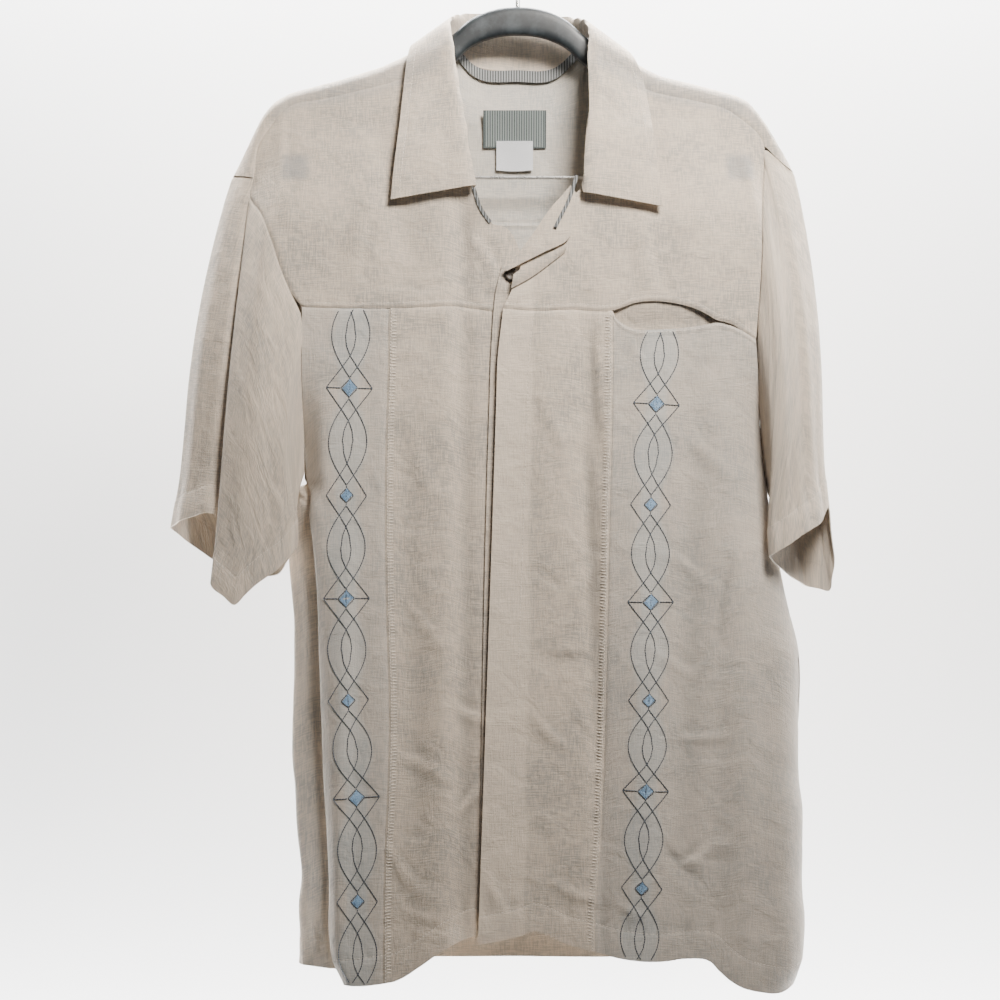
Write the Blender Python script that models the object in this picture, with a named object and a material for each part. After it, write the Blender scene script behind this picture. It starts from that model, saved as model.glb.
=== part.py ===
"""A short-sleeved camp shirt in linen, hanging on a moulded hanger.

Sizes are in millimetres. The origin is the point of the hook that hangs on a rail, +Z is up and the
shirt faces -Y. "Right" and "left" are the wearer's, so the right front is on the -X side.
"""

import math

import bpy
import numpy as np

# Cloth
MM = 0.001
CLOTH = 1.2
SEAM_GAP = 0.3
RIDGE_RADIUS = 9.0
BELLY = 29.0
BACK_DEPTH = 24.0
SIDE_ROUNDING = 44.0
BACK_YOKE_SEAM = -266.0
BACK_HEIGHTS = (
    -300.0, -345.0, -395.0, -440.0, -480.0, -505.0, -530.0, -558.0, -600.0, -650.0, -700.0, -760.0,
    -820.0, -880.0, -930.0,
)

# Layers of the concealed fly, as offsets behind the cover
FLY_OFFSET = 5.0
UNDER_OFFSET = 7.2
FLY_WIDTH = 40.0
BUTTON_RADIUS = 5.7
BUTTON_THICKNESS = 2.4
BUTTON_HEIGHTS = (-317.0, -420.0, -520.0, -620.0, -720.0, -820.0)

# Hanger
ARM_THICKNESS = 10.0
WIRE_RADIUS = 2.0
HOOK_RADIUS = 22.0
BAR_HEIGHT = -227.0
BAR_RADIUS = 1.6
BAR_END = 196.0

# Curves seen from the front, columns x and z
RIDGE_RIGHT = (
    (-256, -240), (-254, -227), (-246, -207), (-238, -189), (-227, -173), (-218, -161),
    (-202, -152), (-156, -140), (-121, -129), (-97, -118), (-68, -103), (-55, -96),
)
RIDGE_LEFT = (
    (53, -96), (72, -106), (107, -127), (126, -137), (163, -146), (196, -155),
    (207, -161), (215, -169), (220, -179), (232, -203), (246, -225), (248, -240),
)
SHOULDER_SEAM_RIGHT = (
    (-68, -120), (-104, -141), (-139, -151), (-174, -159), (-202, -165), (-214, -176),
    (-222, -187), (-228, -196), (-234, -230),
)
SHOULDER_SEAM_LEFT = (
    (65, -120), (116, -151), (160, -161), (185, -168), (201, -179), (215, -192), (219, -201),
)
ARMHOLE_RIGHT = (
    (-234, -230), (-238, -244), (-227, -261), (-222, -271), (-211, -300), (-200, -331), (-189, -346),
)
ARMHOLE_LEFT = ((219, -201), (218, -220), (216, -241), (214, -279), (213, -304), (211, -339), (208, -375))
CHEST_SEAM_RIGHT = (
    (-189, -346), (-152, -347), (-113, -347), (-82, -346), (-51, -345), (-21, -349), (13, -349),
)
NECKLINE_RIGHT = (
    (-68, -120), (-62, -151), (-54, -180), (-46, -212), (-39, -243), (-30, -259), (-23, -272),
    (-11, -275), (-4, -283), (1, -295), (8, -318), (13, -349),
)
CHEST_SEAM_LEFT = (
    (-13, -347), (14, -349), (47, -348), (83, -349), (104, -342), (122, -341), (139, -343),
    (151, -346), (163, -351), (173, -357), (187, -361), (198, -368), (208, -375),
)
POCKET_EDGE = (
    (83, -354), (93, -362), (104, -366), (122, -366), (139, -365), (163, -362), (173, -360),
    (187, -363), (198, -368), (208, -375),
)
NECKLINE_LEFT = (
    (65, -120), (67, -155), (63, -190), (60, -221), (56, -241), (44, -252), (30, -270), (15, -290),
    (4, -303), (1, -316), (-5, -330), (-13, -347),
)
COVER_EDGE = ((-13, -347), (-18, -394), (-19, -427), (-35, -904))
PANEL_SEAM_RIGHT = (
    (-113, -347), (-114, -408), (-116, -472), (-115, -626), (-113, -689), (-118, -878), (-118, -938),
)
PANEL_SEAM_LEFT = (
    (83, -349), (83, -389), (82, -451), (80, -532), (74, -778), (72, -822), (68, -866), (67, -910),
)
FOLD_EDGE_RIGHT = (
    (-189, -346), (-189, -366), (-189, -427), (-187, -497), (-184, -521), (-180, -550), (-176, -597),
    (-174, -655), (-172, -714), (-170, -761), (-167, -809), (-165, -855), (-165, -897), (-162, -918),
    (-152, -940),
)
SIDE_LEFT = (
    (208, -375), (214, -445), (223, -515), (232, -568), (239, -603), (250, -646), (250, -761),
    (254, -789), (254, -817), (253, -859), (256, -886), (255, -914), (253, -931), (244, -944),
)
STRIP_RIGHT = (
    (-194, -497), (-199, -530), (-203, -574), (-200, -620), (-200, -668), (-203, -714), (-204, -750),
    (-201, -768), (-200, -809), (-194, -851), (-199, -879), (-197, -896), (-197, -935),
)
HEM_RIGHT = (
    (-152, -940), (-134, -940), (-118, -938), (-108, -936), (-86, -923), (-68, -910), (-42, -899),
    (-3, -897),
)
HEM_LEFT = (
    (-35, -904), (-13, -900), (3, -896), (14, -892), (25, -895), (39, -902), (67, -910), (84, -915),
    (106, -918), (128, -918), (147, -916), (167, -918), (177, -928), (190, -938), (211, -945), (232, -948),
    (244, -944),
)

# Large soft folds: x and z of both ends, half width, and height towards the viewer
FOLDS = (
    (-150, -560, -158, -900, 12, 5.0),
    (-96, -420, -90, -780, 16, -3.0),
    (-60, -600, -74, -900, 14, 3.5),
    (30, -380, 44, -620, 18, 3.0),
    (60, -360, 76, -900, 9, -4.0),
    (100, -470, 118, -900, 20, 4.5),
    (160, -420, 150, -800, 17, -4.0),
    (196, -560, 200, -930, 14, 5.0),
    (-120, -180, -90, -300, 18, -2.5),
    (120, -190, 140, -300, 18, -2.5),
)
BACK_FOLDS = (
    (-110, -300, -120, -900, 20, -4.0),
    (-30, -300, -20, -900, 16, 5.0),
    (60, -300, 74, -900, 18, -4.0),
    (150, -420, 160, -900, 20, 4.0),
)

# Collar stations from the right front end round the back: seam, roll line and edge, each x, y, z
COLLAR = (
    (-39, -30, -243, -37, -36, -241, -111, -34, -253),
    (-46, -27, -212, -42, -33, -211, -108, -31, -221),
    (-54, -22, -180, -47, -28, -177, -104, -24, -186),
    (-62, -16, -151, -53, -22, -144, -101, -18, -154),
    (-68, -11, -120, -58, -17, -108, -98, -14, -126),
    (-72, -8.5, -110, -60, -12, -95, -96, -11, -115),
    (-73, 0, -103, -61, -3, -84, -93, -2, -107),
    (-67, 9, -102, -55, 10, -79, -87, 13, -107),
    (-60, 14, -107, -49, 17, -76, -76, 24, -111),
    (-42, 22, -124, -34, 25, -72, -52, 35, -118),
    (0, 26, -128, 0, 29, -70, 0, 40, -126),
    (39, 22, -125, 30, 26, -73, 52, 35, -118),
    (59, 14, -108, 44, 17, -78, 74, 24, -114),
    (67, 9, -102, 51, 10, -82, 87, 13, -113),
    (73, 0, -104, 60, -3, -87, 96, -2, -113),
    (71, -8.5, -111, 63, -12, -98, 104, -13, -126),
    (65, -11, -120, 62, -18, -122, 110, -15, -142),
    (67, -17, -155, 63, -24, -158, 115, -20, -168),
    (63, -23, -190, 60, -30, -195, 119, -27, -196),
    (60, -27, -221, 58, -34, -225, 123, -32, -228),
    (56, -30, -241, 57, -36, -247, 126, -34, -259),
)

# Armhole loops from the top down the front, round the underarm and up the back: x, z, then x, y, z
UNDERARM_RIGHT = ((-189, -385), (-189, -427), (-188, -465))
ARMHOLE_BACK_RIGHT = (
    (-189, -8, -497), (-192, 8, -460), (-204, 20, -400), (-222, 22, -330), (-240, 16, -266),
)
ARMHOLE_BACK_LEFT = ((223, 0, -515), (219, 12, -470), (218, 20, -410), (228, 22, -330), (240, 16, -266))
SHOULDER_END_RIGHT = ((-254, 0, -227), (-252, -6, -227), (-245, -11, -228), (-234, -14, -230))
SHOULDER_END_LEFT = ((246, 0, -225), (244, -6, -223), (234, -10, -216), (219, -10, -201))

# Sleeve guide lines round the armhole: share of the loop, hem x, y, z, and bulge x, y near the top
RIGHT_SLEEVE = (
    (0.000, -309, -2, -540, -9, 0),
    (0.020, -297, -20, -533, -5, -6),
    (0.035, -274, -27, -526, 0, -7),
    (0.055, -247, -24, -534, 2, 1),
    (0.085, -266, -37, -591, -2, -7),
    (0.130, -246, -41, -606, -3, -9),
    (0.200, -228, -40, -589, -4, -9),
    (0.280, -209, -37, -575, -5, -8),
    (0.390, -197, -31, -561, -5, -7),
    (0.510, -195, -23, -556, -3, -5),
    (0.610, -214, -4, -581, -5, 0),
    (0.720, -240, 12, -586, -8, 4),
    (0.840, -274, 18, -570, -8, 5),
    (0.930, -297, 12, -553, -8, 4),
)
LEFT_SLEEVE = (
    (0.000, 278, 0, -524, 8, 0),
    (0.020, 274, -16, -520, 7, -5),
    (0.045, 263, -31, -536, 7, -9),
    (0.090, 249, -38, -544, 7, -10),
    (0.160, 236, -41, -553, 7, -10),
    (0.250, 223, -40, -561, 7, -10),
    (0.370, 219, -36, -564, 5, -9),
    (0.510, 222, -30, -567, 3, -7),
    (0.610, 243, -8, -583, 5, 2),
    (0.720, 262, 12, -593, 7, 5),
    (0.840, 282, 16, -597, 8, 5),
    (0.930, 285, 12, -576, 8, 4),
)

# Outer turned edge of the left front's lapel and the band below it
LAPEL_ROLL = ((46, -240), (40, -247), (30, -258), (11, -285), (-3, -303), (-12, -312))
LAPEL_OUTER = ((54, -252), (51, -265), (43, -288), (24, -298), (4, -308), (-10, -315))
BAND_TOP = ((-4, -318), (9, -309), (26, -300), (43, -291))
BAND_LOW = ((-6, -330), (12, -320), (27, -309), (41, -298))

# Hanger arm, columns x, drop of the top edge below the ridge, depth
HANGER_ARM = (
    (-217, 6.5, 9), (-208, 4.6, 12), (-192, 4.0, 15), (-165, 3.8, 18), (-130, 3.8, 21), (-98, 3.6, 23),
    (-70, 4.2, 25),
)
HANGER_ARCH = ((-55, -97, 26), (-45, -88, 25), (-30, -80, 25), (-15, -76, 25), (0, -75, 25))


def sample_at(points, shares):
    """Points of a polyline at the given shares of its length."""
    points = np.asarray(points, float)
    steps = np.linalg.norm(np.diff(points, axis=0), axis=1)
    length = np.concatenate([[0], np.cumsum(steps)])
    places = np.asarray(shares) * length[-1]
    return np.stack([np.interp(places, length, points[:, k]) for k in range(points.shape[1])], axis=1)


def sample(points, count):
    return sample_at(points, np.linspace(0, 1, count))


def smooth(value):
    value = np.clip(value, 0, 1)
    return value * value * (3 - 2 * value)


def across(table, z):
    """The x of a curve, given as (x, z) rows from top to bottom, at the height z."""
    rows = np.asarray(table, float)[::-1]
    return np.interp(z, rows[:, 1], rows[:, 0])


def ridge_height(x):
    rows = np.asarray(RIDGE_RIGHT + RIDGE_LEFT, float)
    return np.interp(x, rows[:, 0], rows[:, 1])


def fold_height(folds, x, z):
    total = np.zeros(np.broadcast(x, z).shape)
    for x0, z0, x1, z1, width, height in folds:
        share = np.clip((z - z0) / (z1 - z0), 0, 1)
        middle = x0 + (x1 - x0) * share
        fade = np.sin(math.pi * np.clip((z - z0 - 30) / (z1 - z0 - 60), 0.03, 1) ** 0.8 * 0.86)
        inside = (z <= z0 + 30) & (z >= z1 - 30)
        total = total + np.where(inside, height * np.abs(fade), 0) * np.exp(-(((x - middle) / width) ** 2))
    return total


def side_factor(x, z):
    """Rounds the left side away to its side seam, below the armhole."""
    share = (x - (across(SIDE_LEFT, z) - SIDE_ROUNDING)) / SIDE_ROUNDING
    full = np.sqrt(1 - np.clip(share, 0, 1) ** 2)
    blend = smooth((-375 - z) / 110)
    return 1 + (full - 1) * blend


def fold_share(z):
    """How far the right side is folded under, from none at the underarm to all of it below."""
    return smooth((-497 - z) / 34)


def underarm_factor(x, z):
    """Draws the right front back to the underarm, where it meets the back."""
    share = np.clip((across(FOLD_EDGE_RIGHT, z) + 24 - x) / 24, 0, 1)
    blend = smooth((-385 - z) / 105) * (1 - fold_share(z))
    return 1 - 0.66 * (1 - np.sqrt(1 - share**2)) * blend


def fold_round(x, z):
    """Rolls the right front's folded edge back."""
    share = np.clip((x - across(FOLD_EDGE_RIGHT, z)) / 9, 0, 1)
    return 5 * (1 - share) ** 2 * fold_share(z)


def front_y(x, z):
    """Depth of the front cloth seen from the front."""
    x = np.asarray(x, float)
    z = np.asarray(z, float)
    drop = np.maximum(ridge_height(x) - z, 0)
    round_part = np.sqrt(RIDGE_RADIUS**2 - (RIDGE_RADIUS - np.minimum(drop, RIDGE_RADIUS)) ** 2)
    belly = (BELLY - RIDGE_RADIUS) * smooth((drop - RIDGE_RADIUS) / 130)
    depth = (round_part + belly + fold_height(FOLDS, x, z)) * side_factor(x, z) * underarm_factor(x, z)
    return fold_round(x, z) - depth


def under_y(x, z):
    """Depth of the right front, which drops behind the fly layers near the middle."""
    near_middle = smooth((np.asarray(x, float) + 66) / 26)
    below_collar = smooth((-225 - np.asarray(z, float)) / 50)
    return front_y(x, z) + UNDER_OFFSET * near_middle * below_collar


def back_y(x, z):
    drop = np.maximum(ridge_height(x) - z, 0)
    round_part = np.sqrt(RIDGE_RADIUS**2 - (RIDGE_RADIUS - np.minimum(drop, RIDGE_RADIUS)) ** 2)
    belly = (BACK_DEPTH - RIDGE_RADIUS) * smooth((drop - RIDGE_RADIUS) / 110)
    return round_part + belly + fold_height(BACK_FOLDS, x, z)


def patch(top, bottom, left, right):
    """Fills four sides with a grid. The top has as many points as the bottom, and the left as the right."""
    rows = len(left)
    columns = len(top)
    u = np.linspace(0, 1, columns)[None, :, None]
    v = np.linspace(0, 1, rows)[:, None, None]
    corners = (
        (1 - u) * (1 - v) * top[0] + u * (1 - v) * top[-1] + (1 - u) * v * bottom[0] + u * v * bottom[-1]
    )
    return (1 - v) * top[None] + v * bottom[None] + (1 - u) * left[:, None] + u * right[:, None] - corners


def drape(flat, depth):
    """Turns a grid of x and z into points, with the depth that a function gives."""
    x = flat[..., 0]
    z = flat[..., 1]
    return np.stack([x, depth(x, z), z], axis=-1)


def trimmed(grid, gap):
    """Draws the four edges of a grid in by a seam's gap."""
    grid = grid.copy()
    for axis in (0, 1):
        lines = np.moveaxis(grid, axis, 0)
        for edge, inner in ((0, 1), (-1, -2)):
            step = lines[inner] - lines[edge]
            length = np.maximum(np.linalg.norm(step, axis=-1, keepdims=True), 1e-6)
            lines[edge] += step * np.minimum(gap / length, 0.4)
    return grid


def normals_of(grid, closed):
    if closed:
        around = np.roll(grid, -1, axis=1) - np.roll(grid, 1, axis=1)
    else:
        around = np.gradient(grid, axis=1)
    along = np.gradient(grid, axis=0)
    normal = np.cross(along, around)
    return normal / np.maximum(np.linalg.norm(normal, axis=-1, keepdims=True), 1e-9)


def material(name, colour, roughness, metallic=0.0):
    made = bpy.data.materials.new(name)
    made.use_nodes = True
    shader = made.node_tree.nodes["Principled BSDF"]
    shader.inputs["Base Color"].default_value = (*colour, 1)
    shader.inputs["Roughness"].default_value = roughness
    shader.inputs["Metallic"].default_value = metallic
    made.diffuse_color = (*colour, 1)
    return made


def add_mesh(name, points, faces, look):
    """Adds a closed mesh, turned so that its faces point out."""
    points = np.asarray(points, float) * MM
    total = 0.0
    for face in faces:
        for k in range(1, len(face) - 1):
            total += np.dot(points[face[0]], np.cross(points[face[k]], points[face[k + 1]]))
    if total < 0:
        faces = [tuple(reversed(face)) for face in faces]
    mesh = bpy.data.meshes.new(name)
    mesh.from_pydata([tuple(point) for point in points], [], faces)
    mesh.materials.append(material(name, *look))
    mesh.shade_smooth()
    mesh.set_sharp_from_angle(angle=math.radians(40))
    made = bpy.data.objects.new(name, mesh)
    bpy.context.scene.collection.objects.link(made)
    return made


def add_wall(name, grid, look, thickness=CLOTH, closed=False):
    """A wall of even thickness through a grid. A closed grid joins its last column to its first."""
    rows, columns = grid.shape[:2]
    normal = normals_of(grid, closed)
    points = np.concatenate(
        [(grid + normal * thickness / 2).reshape(-1, 3), (grid - normal * thickness / 2).reshape(-1, 3)]
    )
    below = rows * columns
    faces = []
    for i in range(rows - 1):
        for j in range(columns if closed else columns - 1):
            a = i * columns + j
            b = i * columns + (j + 1) % columns
            c = b + columns
            d = a + columns
            faces.append((a, d, c, b))
            faces.append((a + below, b + below, c + below, d + below))
    rim = []
    for j in range(columns if closed else columns - 1):
        rim.append((j, (j + 1) % columns))
        last = (rows - 1) * columns
        rim.append((last + (j + 1) % columns, last + j))
    if not closed:
        for i in range(rows - 1):
            rim.append(((i + 1) * columns, i * columns))
            rim.append((i * columns + columns - 1, (i + 2) * columns - 1))
    for a, b in rim:
        faces.append((a, b, b + below, a + below))
    return add_mesh(name, points, faces, look)


def add_sweep(name, path, sections, look):
    """A closed bar through sections, each given as offsets from its point of the path."""
    count = len(sections[0])
    points = [path[i] + offset for i, section in enumerate(sections) for offset in section]
    faces = []
    for i in range(len(path) - 1):
        for j in range(count):
            a = i * count + j
            b = i * count + (j + 1) % count
            faces.append((a, b, b + count, a + count))
    faces.append(tuple(reversed(range(count))))
    faces.append(tuple(range(len(points) - count, len(points))))
    return add_mesh(name, points, faces, look)


def add_tube(name, path, radius, look, sides=10):
    """A round wire along a path that stays in planes of even y."""
    path = np.asarray(path, float)
    direction = np.gradient(path, axis=0)
    direction /= np.linalg.norm(direction, axis=1, keepdims=True)
    sideways = np.array([0.0, 1.0, 0.0])
    sections = []
    for tangent in direction:
        upright = np.cross(tangent, sideways)
        ring = [
            radius * (math.cos(angle) * sideways + math.sin(angle) * upright)
            for angle in np.linspace(0, 2 * math.pi, sides, endpoint=False)
        ]
        sections.append(np.array(ring))
    return add_sweep(name, path, sections, look)


# Colours
LINEN = ((0.72, 0.66, 0.58), 0.9)
LINEN_BAND = ((0.66, 0.63, 0.57), 0.9)
TAPE = ((0.35, 0.35, 0.35), 0.8)
LABEL = ((0.32, 0.37, 0.36), 0.7)
WHITE = ((0.8, 0.8, 0.82), 0.8)
BUTTON = ((0.03, 0.025, 0.02), 0.35)
PLASTIC = ((0.02, 0.026, 0.03), 0.4)
STEEL = ((0.62, 0.62, 0.6), 0.25, 1.0)

# Shared seam points, so that neighbours meet along the same lines
PANEL_ROWS = 15
SIDE_SHARES = (0, 0.14, 0.28, 0.42, 0.56, 0.7, 0.83, 0.93, 1)
YOKE_ROWS = 11
YOKE_DROPS = (0, -9, -5, -2, 0, 2, 5, 9, 22, 52, 90)
chest_right_side = sample(CHEST_SEAM_RIGHT[:3], 5)
chest_right_centre = sample(CHEST_SEAM_RIGHT[2:], 7)
chest_left_centre = sample(CHEST_SEAM_LEFT[:4], 6)
chest_left_side = sample_at(CHEST_SEAM_LEFT[3:], SIDE_SHARES)
panel_seam_right = sample(PANEL_SEAM_RIGHT, PANEL_ROWS)
panel_seam_left = sample(PANEL_SEAM_LEFT, PANEL_ROWS)
shoulder_right = sample(SHOULDER_SEAM_RIGHT[::-1], len(chest_right_side) + len(chest_right_centre) - 1)
shoulder_left = sample(SHOULDER_SEAM_LEFT, len(chest_left_centre) + len(chest_left_side) - 1)
NECK_START = 4
NECK_END = 16
neck_stations = sample(COLLAR[NECK_START:NECK_END + 1], 15)


def right_front():
    """Chest yoke, centre panel and side panel of the right front."""
    bottom = np.concatenate([chest_right_side, chest_right_centre[1:]])
    yoke = patch(shoulder_right, bottom, sample(ARMHOLE_RIGHT, YOKE_ROWS), sample(NECKLINE_RIGHT, YOKE_ROWS))
    add_wall("right_front_yoke", trimmed(drape(yoke, under_y), 3 * SEAM_GAP), LINEN)
    hem_centre = sample(HEM_RIGHT[2:], len(chest_right_centre))
    free_edge = sample((CHEST_SEAM_RIGHT[-1], HEM_RIGHT[-1]), PANEL_ROWS)
    centre = patch(chest_right_centre, hem_centre, panel_seam_right, free_edge)
    add_wall("right_front_centre", trimmed(drape(centre, under_y), SEAM_GAP), LINEN)
    hem_side = sample(HEM_RIGHT[:3], len(chest_right_side))
    side = patch(chest_right_side, hem_side, sample(FOLD_EDGE_RIGHT, PANEL_ROWS), panel_seam_right)
    side = drape(side, front_y)
    add_wall("right_front_side", trimmed(with_return(side), SEAM_GAP), LINEN_BAND)


def with_return(side):
    """Adds the part of the right side that is folded under, as three columns before the folded edge."""
    edge = side[:, 0]
    share = fold_share(edge[:, 2])[:, None]
    inward = (side[:, 1] - edge) / np.linalg.norm(side[:, 1] - edge, axis=1, keepdims=True)
    columns = []
    for number, turned in enumerate(((13, 8.2, 0), (6, 7.2, 0), (1, 4, 0))):
        columns.append(edge + (1 - share) * inward * 2.5 * number + share * np.array(turned))
    columns.append(edge + (1 - share) * inward * 7.5)
    return np.concatenate([np.stack(columns, axis=1), side[:, 1:]], axis=1)


def left_front():
    """Chest yoke, centre panel with the fly cover, and side panel of the left front."""
    bottom = np.concatenate([chest_left_centre, chest_left_side[1:]])
    yoke = patch(shoulder_left, bottom, sample(NECKLINE_LEFT, YOKE_ROWS), sample(ARMHOLE_LEFT, YOKE_ROWS))
    add_wall("left_front_yoke", trimmed(drape(yoke, front_y), SEAM_GAP), LINEN)
    hem_centre = sample(HEM_LEFT[:7], len(chest_left_centre))
    centre = patch(chest_left_centre, hem_centre, sample(COVER_EDGE, PANEL_ROWS), panel_seam_left)
    add_wall("left_front_centre", trimmed(drape(centre, front_y), SEAM_GAP), LINEN)
    mouth = sample_at(POCKET_EDGE, SIDE_SHARES)
    mouth[0] = panel_seam_left[0]
    hem_side = sample_at(HEM_LEFT[6:], SIDE_SHARES)
    side = patch(mouth, hem_side, panel_seam_left, sample(SIDE_LEFT, PANEL_ROWS))
    add_wall("left_front_side", trimmed(drape(side, front_y), SEAM_GAP), LINEN_BAND)


def fly_layer():
    """The layer that carries the buttonholes, under the cover."""
    edge = np.array(((-14, -309), (-19, -330), (-23, -373), (-25, -427), (-35, -898)), float)
    other = edge + np.array((FLY_WIDTH, 0))
    other[0] = (18, -309)
    left = sample(edge, PANEL_ROWS + 1)
    right = sample(other, PANEL_ROWS + 1)
    top = sample((left[0], right[0]), 4)
    bottom = sample((left[-1], right[-1]), 4)
    flat = patch(top, bottom, left, right)
    add_wall("left_front_fly", drape(flat, lambda x, z: front_y(x, z) + FLY_OFFSET), LINEN)


def lapel():
    """The turned-out lapel facing and the turned end of the fly cover below it."""
    roll = sample(LAPEL_ROLL, 9)
    outer = sample(LAPEL_OUTER, 9)
    flat = patch(sample((roll[0], outer[0]), 4), sample((roll[-1], outer[-1]), 4), roll, outer)
    grid = drape(flat, front_y)
    lift = np.linspace(0, 1, 4)[None, :] * np.sin(np.linspace(0.35, 2.9, 9))[:, None]
    grid[..., 1] -= 1.6 + 5.2 * lift
    add_wall("left_facing", grid, LINEN)
    top = sample(BAND_TOP, 6)
    low = sample(BAND_LOW, 6)
    flat = patch(top, low, sample((top[0], low[0]), 3), sample((top[-1], low[-1]), 3))
    grid = drape(flat, front_y)
    grid[..., 1] -= np.array((3.0, 3.0, 1.6))[:, None]
    add_wall("left_fly_top", grid, LINEN)


def pocket_y(x, z):
    """Depth of the pocket bag, close behind the chest seam and clear of the side panel below it."""
    return front_y(x, z) + 1.9 + 4.1 * smooth((-338 - z) / 24)


def pocket():
    """The pocket bag behind the mouth in the left chest seam."""
    top = sample(((84, -334), (176, -337)), 6)
    bottom = sample(((84, -470), (176, -476)), 6)
    flat = patch(top, bottom, sample((top[0], bottom[0]), 8), sample((top[-1], bottom[-1]), 8))
    add_wall("pocket_bag", drape(flat, pocket_y), LINEN)


def back_yoke():
    """The yoke over both shoulders, from the front seams over the hanger to the seam across the back."""
    right = [(x, front_y(x, z), z) for x, z in shoulder_right]
    left = [(x, front_y(x, z), z) for x, z in shoulder_left]
    start = np.array(right + list(neck_stations[1:-1, :3]) + left, float)
    bottom_x = np.linspace(ARMHOLE_BACK_RIGHT[-1][0], ARMHOLE_BACK_LEFT[-1][0], len(start))
    drop_start = np.where(start[:, 1] < 0, -1, 1) * np.maximum(ridge_height(start[:, 0]) - start[:, 2], 0.5)
    drop_end = ridge_height(bottom_x) - BACK_YOKE_SEAM
    drops = []
    for number, target in enumerate(YOKE_DROPS):
        latest = drop_end - 7 * (len(YOKE_DROPS) - number)
        drops.append(np.minimum(np.maximum(target, drop_start + 2.2 * number), latest))
    rows = []
    for drop in [drop_start] + drops[1:] + [drop_end]:
        share = (drop - drop_start) / (drop_end - drop_start)
        x = start[:, 0] + (bottom_x - start[:, 0]) * share
        z = ridge_height(x) - np.abs(drop)
        y = np.where(drop < 0, front_y(x, z), back_y(x, z))
        rows.append(np.stack([x, y, z], axis=1))
    grid = np.stack(rows)
    fade = 1 - smooth(np.linalg.norm(grid - grid[:1], axis=2) / 60)
    grid += (start - grid[0])[None] * fade[..., None]
    for column, tip, back in (
        (0, SHOULDER_END_RIGHT[0], ARMHOLE_BACK_RIGHT[-1]),
        (-1, SHOULDER_END_LEFT[0], ARMHOLE_BACK_LEFT[-1]),
    ):
        grid[:, column] = sample((tip, (tip[0], 9, tip[2] - 12), back), len(grid))
    add_wall("back_yoke", trimmed(grid, 2 * SEAM_GAP), LINEN)


def back_section(z):
    """A cut across the back at one height, from the right side seam round to the left one: x and y."""
    armhole = np.asarray(ARMHOLE_BACK_RIGHT, float)
    edge_x = np.interp(z, armhole[:, 2], armhole[:, 0])
    edge_y = np.interp(z, armhole[:, 2], armhole[:, 1])
    fold = across(FOLD_EDGE_RIGHT, z)
    if z < ARMHOLE_BACK_RIGHT[0][2]:
        edge_x = fold - 0.6
        edge_y = front_y(fold, z) + 0.9
    plain = [
        (edge_x, edge_y), (edge_x + 4, max(edge_y + 3, back_y(edge_x, z) - 12)),
        (edge_x + 12, back_y(edge_x, z) - 3), (edge_x + 45, back_y(edge_x + 45, z)),
    ]
    strip = across(STRIP_RIGHT, z)
    turned = fold_share(z)
    edge = front_y(fold, z) + 1
    folded = [
        (fold + 15.5 * turned, edge + 8.6 * turned), (fold + 18 * turned, edge + 10.6 * turned),
        (fold + 14 * turned, edge + 12.6 * turned), (fold + 4 * turned - 1, edge + 13.6 * turned + 0.5),
        (fold - 8, edge + 12.6 * turned + 1.5), (strip + 6, 0), (strip, 5), (strip + 4, 12),
        (strip + 16, back_y(strip, z) - 3), (strip + 45, back_y(strip + 45, z)),
    ]
    share = smooth((ARMHOLE_BACK_RIGHT[0][2] - z) / 10)
    wrap = (1 - share) * sample(plain, 13) + share * sample_at(folded, np.linspace(0, 1, 13))
    if z > SIDE_LEFT[2][1]:
        rows = np.asarray(ARMHOLE_BACK_LEFT, float)
        end = np.array((np.interp(z, rows[:, 2], rows[:, 0]), np.interp(z, rows[:, 2], rows[:, 1])))
    else:
        end = np.array((across(SIDE_LEFT, z), 0.4))
    depth = back_y(end[0] - SIDE_ROUNDING, z)
    turn = []
    for share in np.linspace(0, 1, 6):
        angle = share * math.pi / 2
        inward = SIDE_ROUNDING * (1 - math.sin(angle))
        turn.append((end[0] - inward, end[1] + (depth - end[1]) * math.cos(angle)))
    middle_x = np.linspace(wrap[-1][0], turn[0][0], 11)[1:-1]
    middle = [(x, back_y(x, z)) for x in middle_x]
    return np.array(list(wrap) + middle + turn)


def back_body():
    heights = (BACK_YOKE_SEAM - 0.6,) + BACK_HEIGHTS
    rows = []
    for z in heights:
        section = back_section(z)
        rows.append(np.column_stack([section, np.full(len(section), z)]))
    add_wall("back_body", trimmed(np.stack(rows), SEAM_GAP), LINEN)


def armhole_loop(shoulder_end, front, underarm, back):
    front = [(x, front_y(x, z), z) for x, z in front]
    lower = [(x, front_y(x, z), z) for x, z in underarm]
    return list(shoulder_end) + front + lower + list(back) + [shoulder_end[0]]


def sleeve(name, loop, table, outward):
    """A sleeve from its armhole to its hem, along guide lines."""
    rows = np.asarray(table + ((1.0, *table[0][1:]),), float)
    shares = []
    for start, end in zip(rows[:-1, 0], rows[1:, 0]):
        shares += [start, (start + end) / 2]
    top = sample_at(loop, shares)
    guide = np.stack([np.interp(shares, rows[:, 0], rows[:, k]) for k in range(1, 6)], axis=1)
    hem = guide[:, :3]
    bulge = np.zeros_like(hem)
    bulge[:, :2] = guide[:, 3:]
    top = top + np.array(outward)
    grid = []
    for share in (0, 0.05, 0.12, 0.22, 0.34, 0.47, 0.6, 0.73, 0.87, 1):
        swell = math.sin(math.pi * min(share * 1.25, 1)) ** 0.8
        grid.append(top + (hem - top) * share + bulge * swell)
    add_wall(name, np.stack(grid), LINEN, closed=True)


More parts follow.
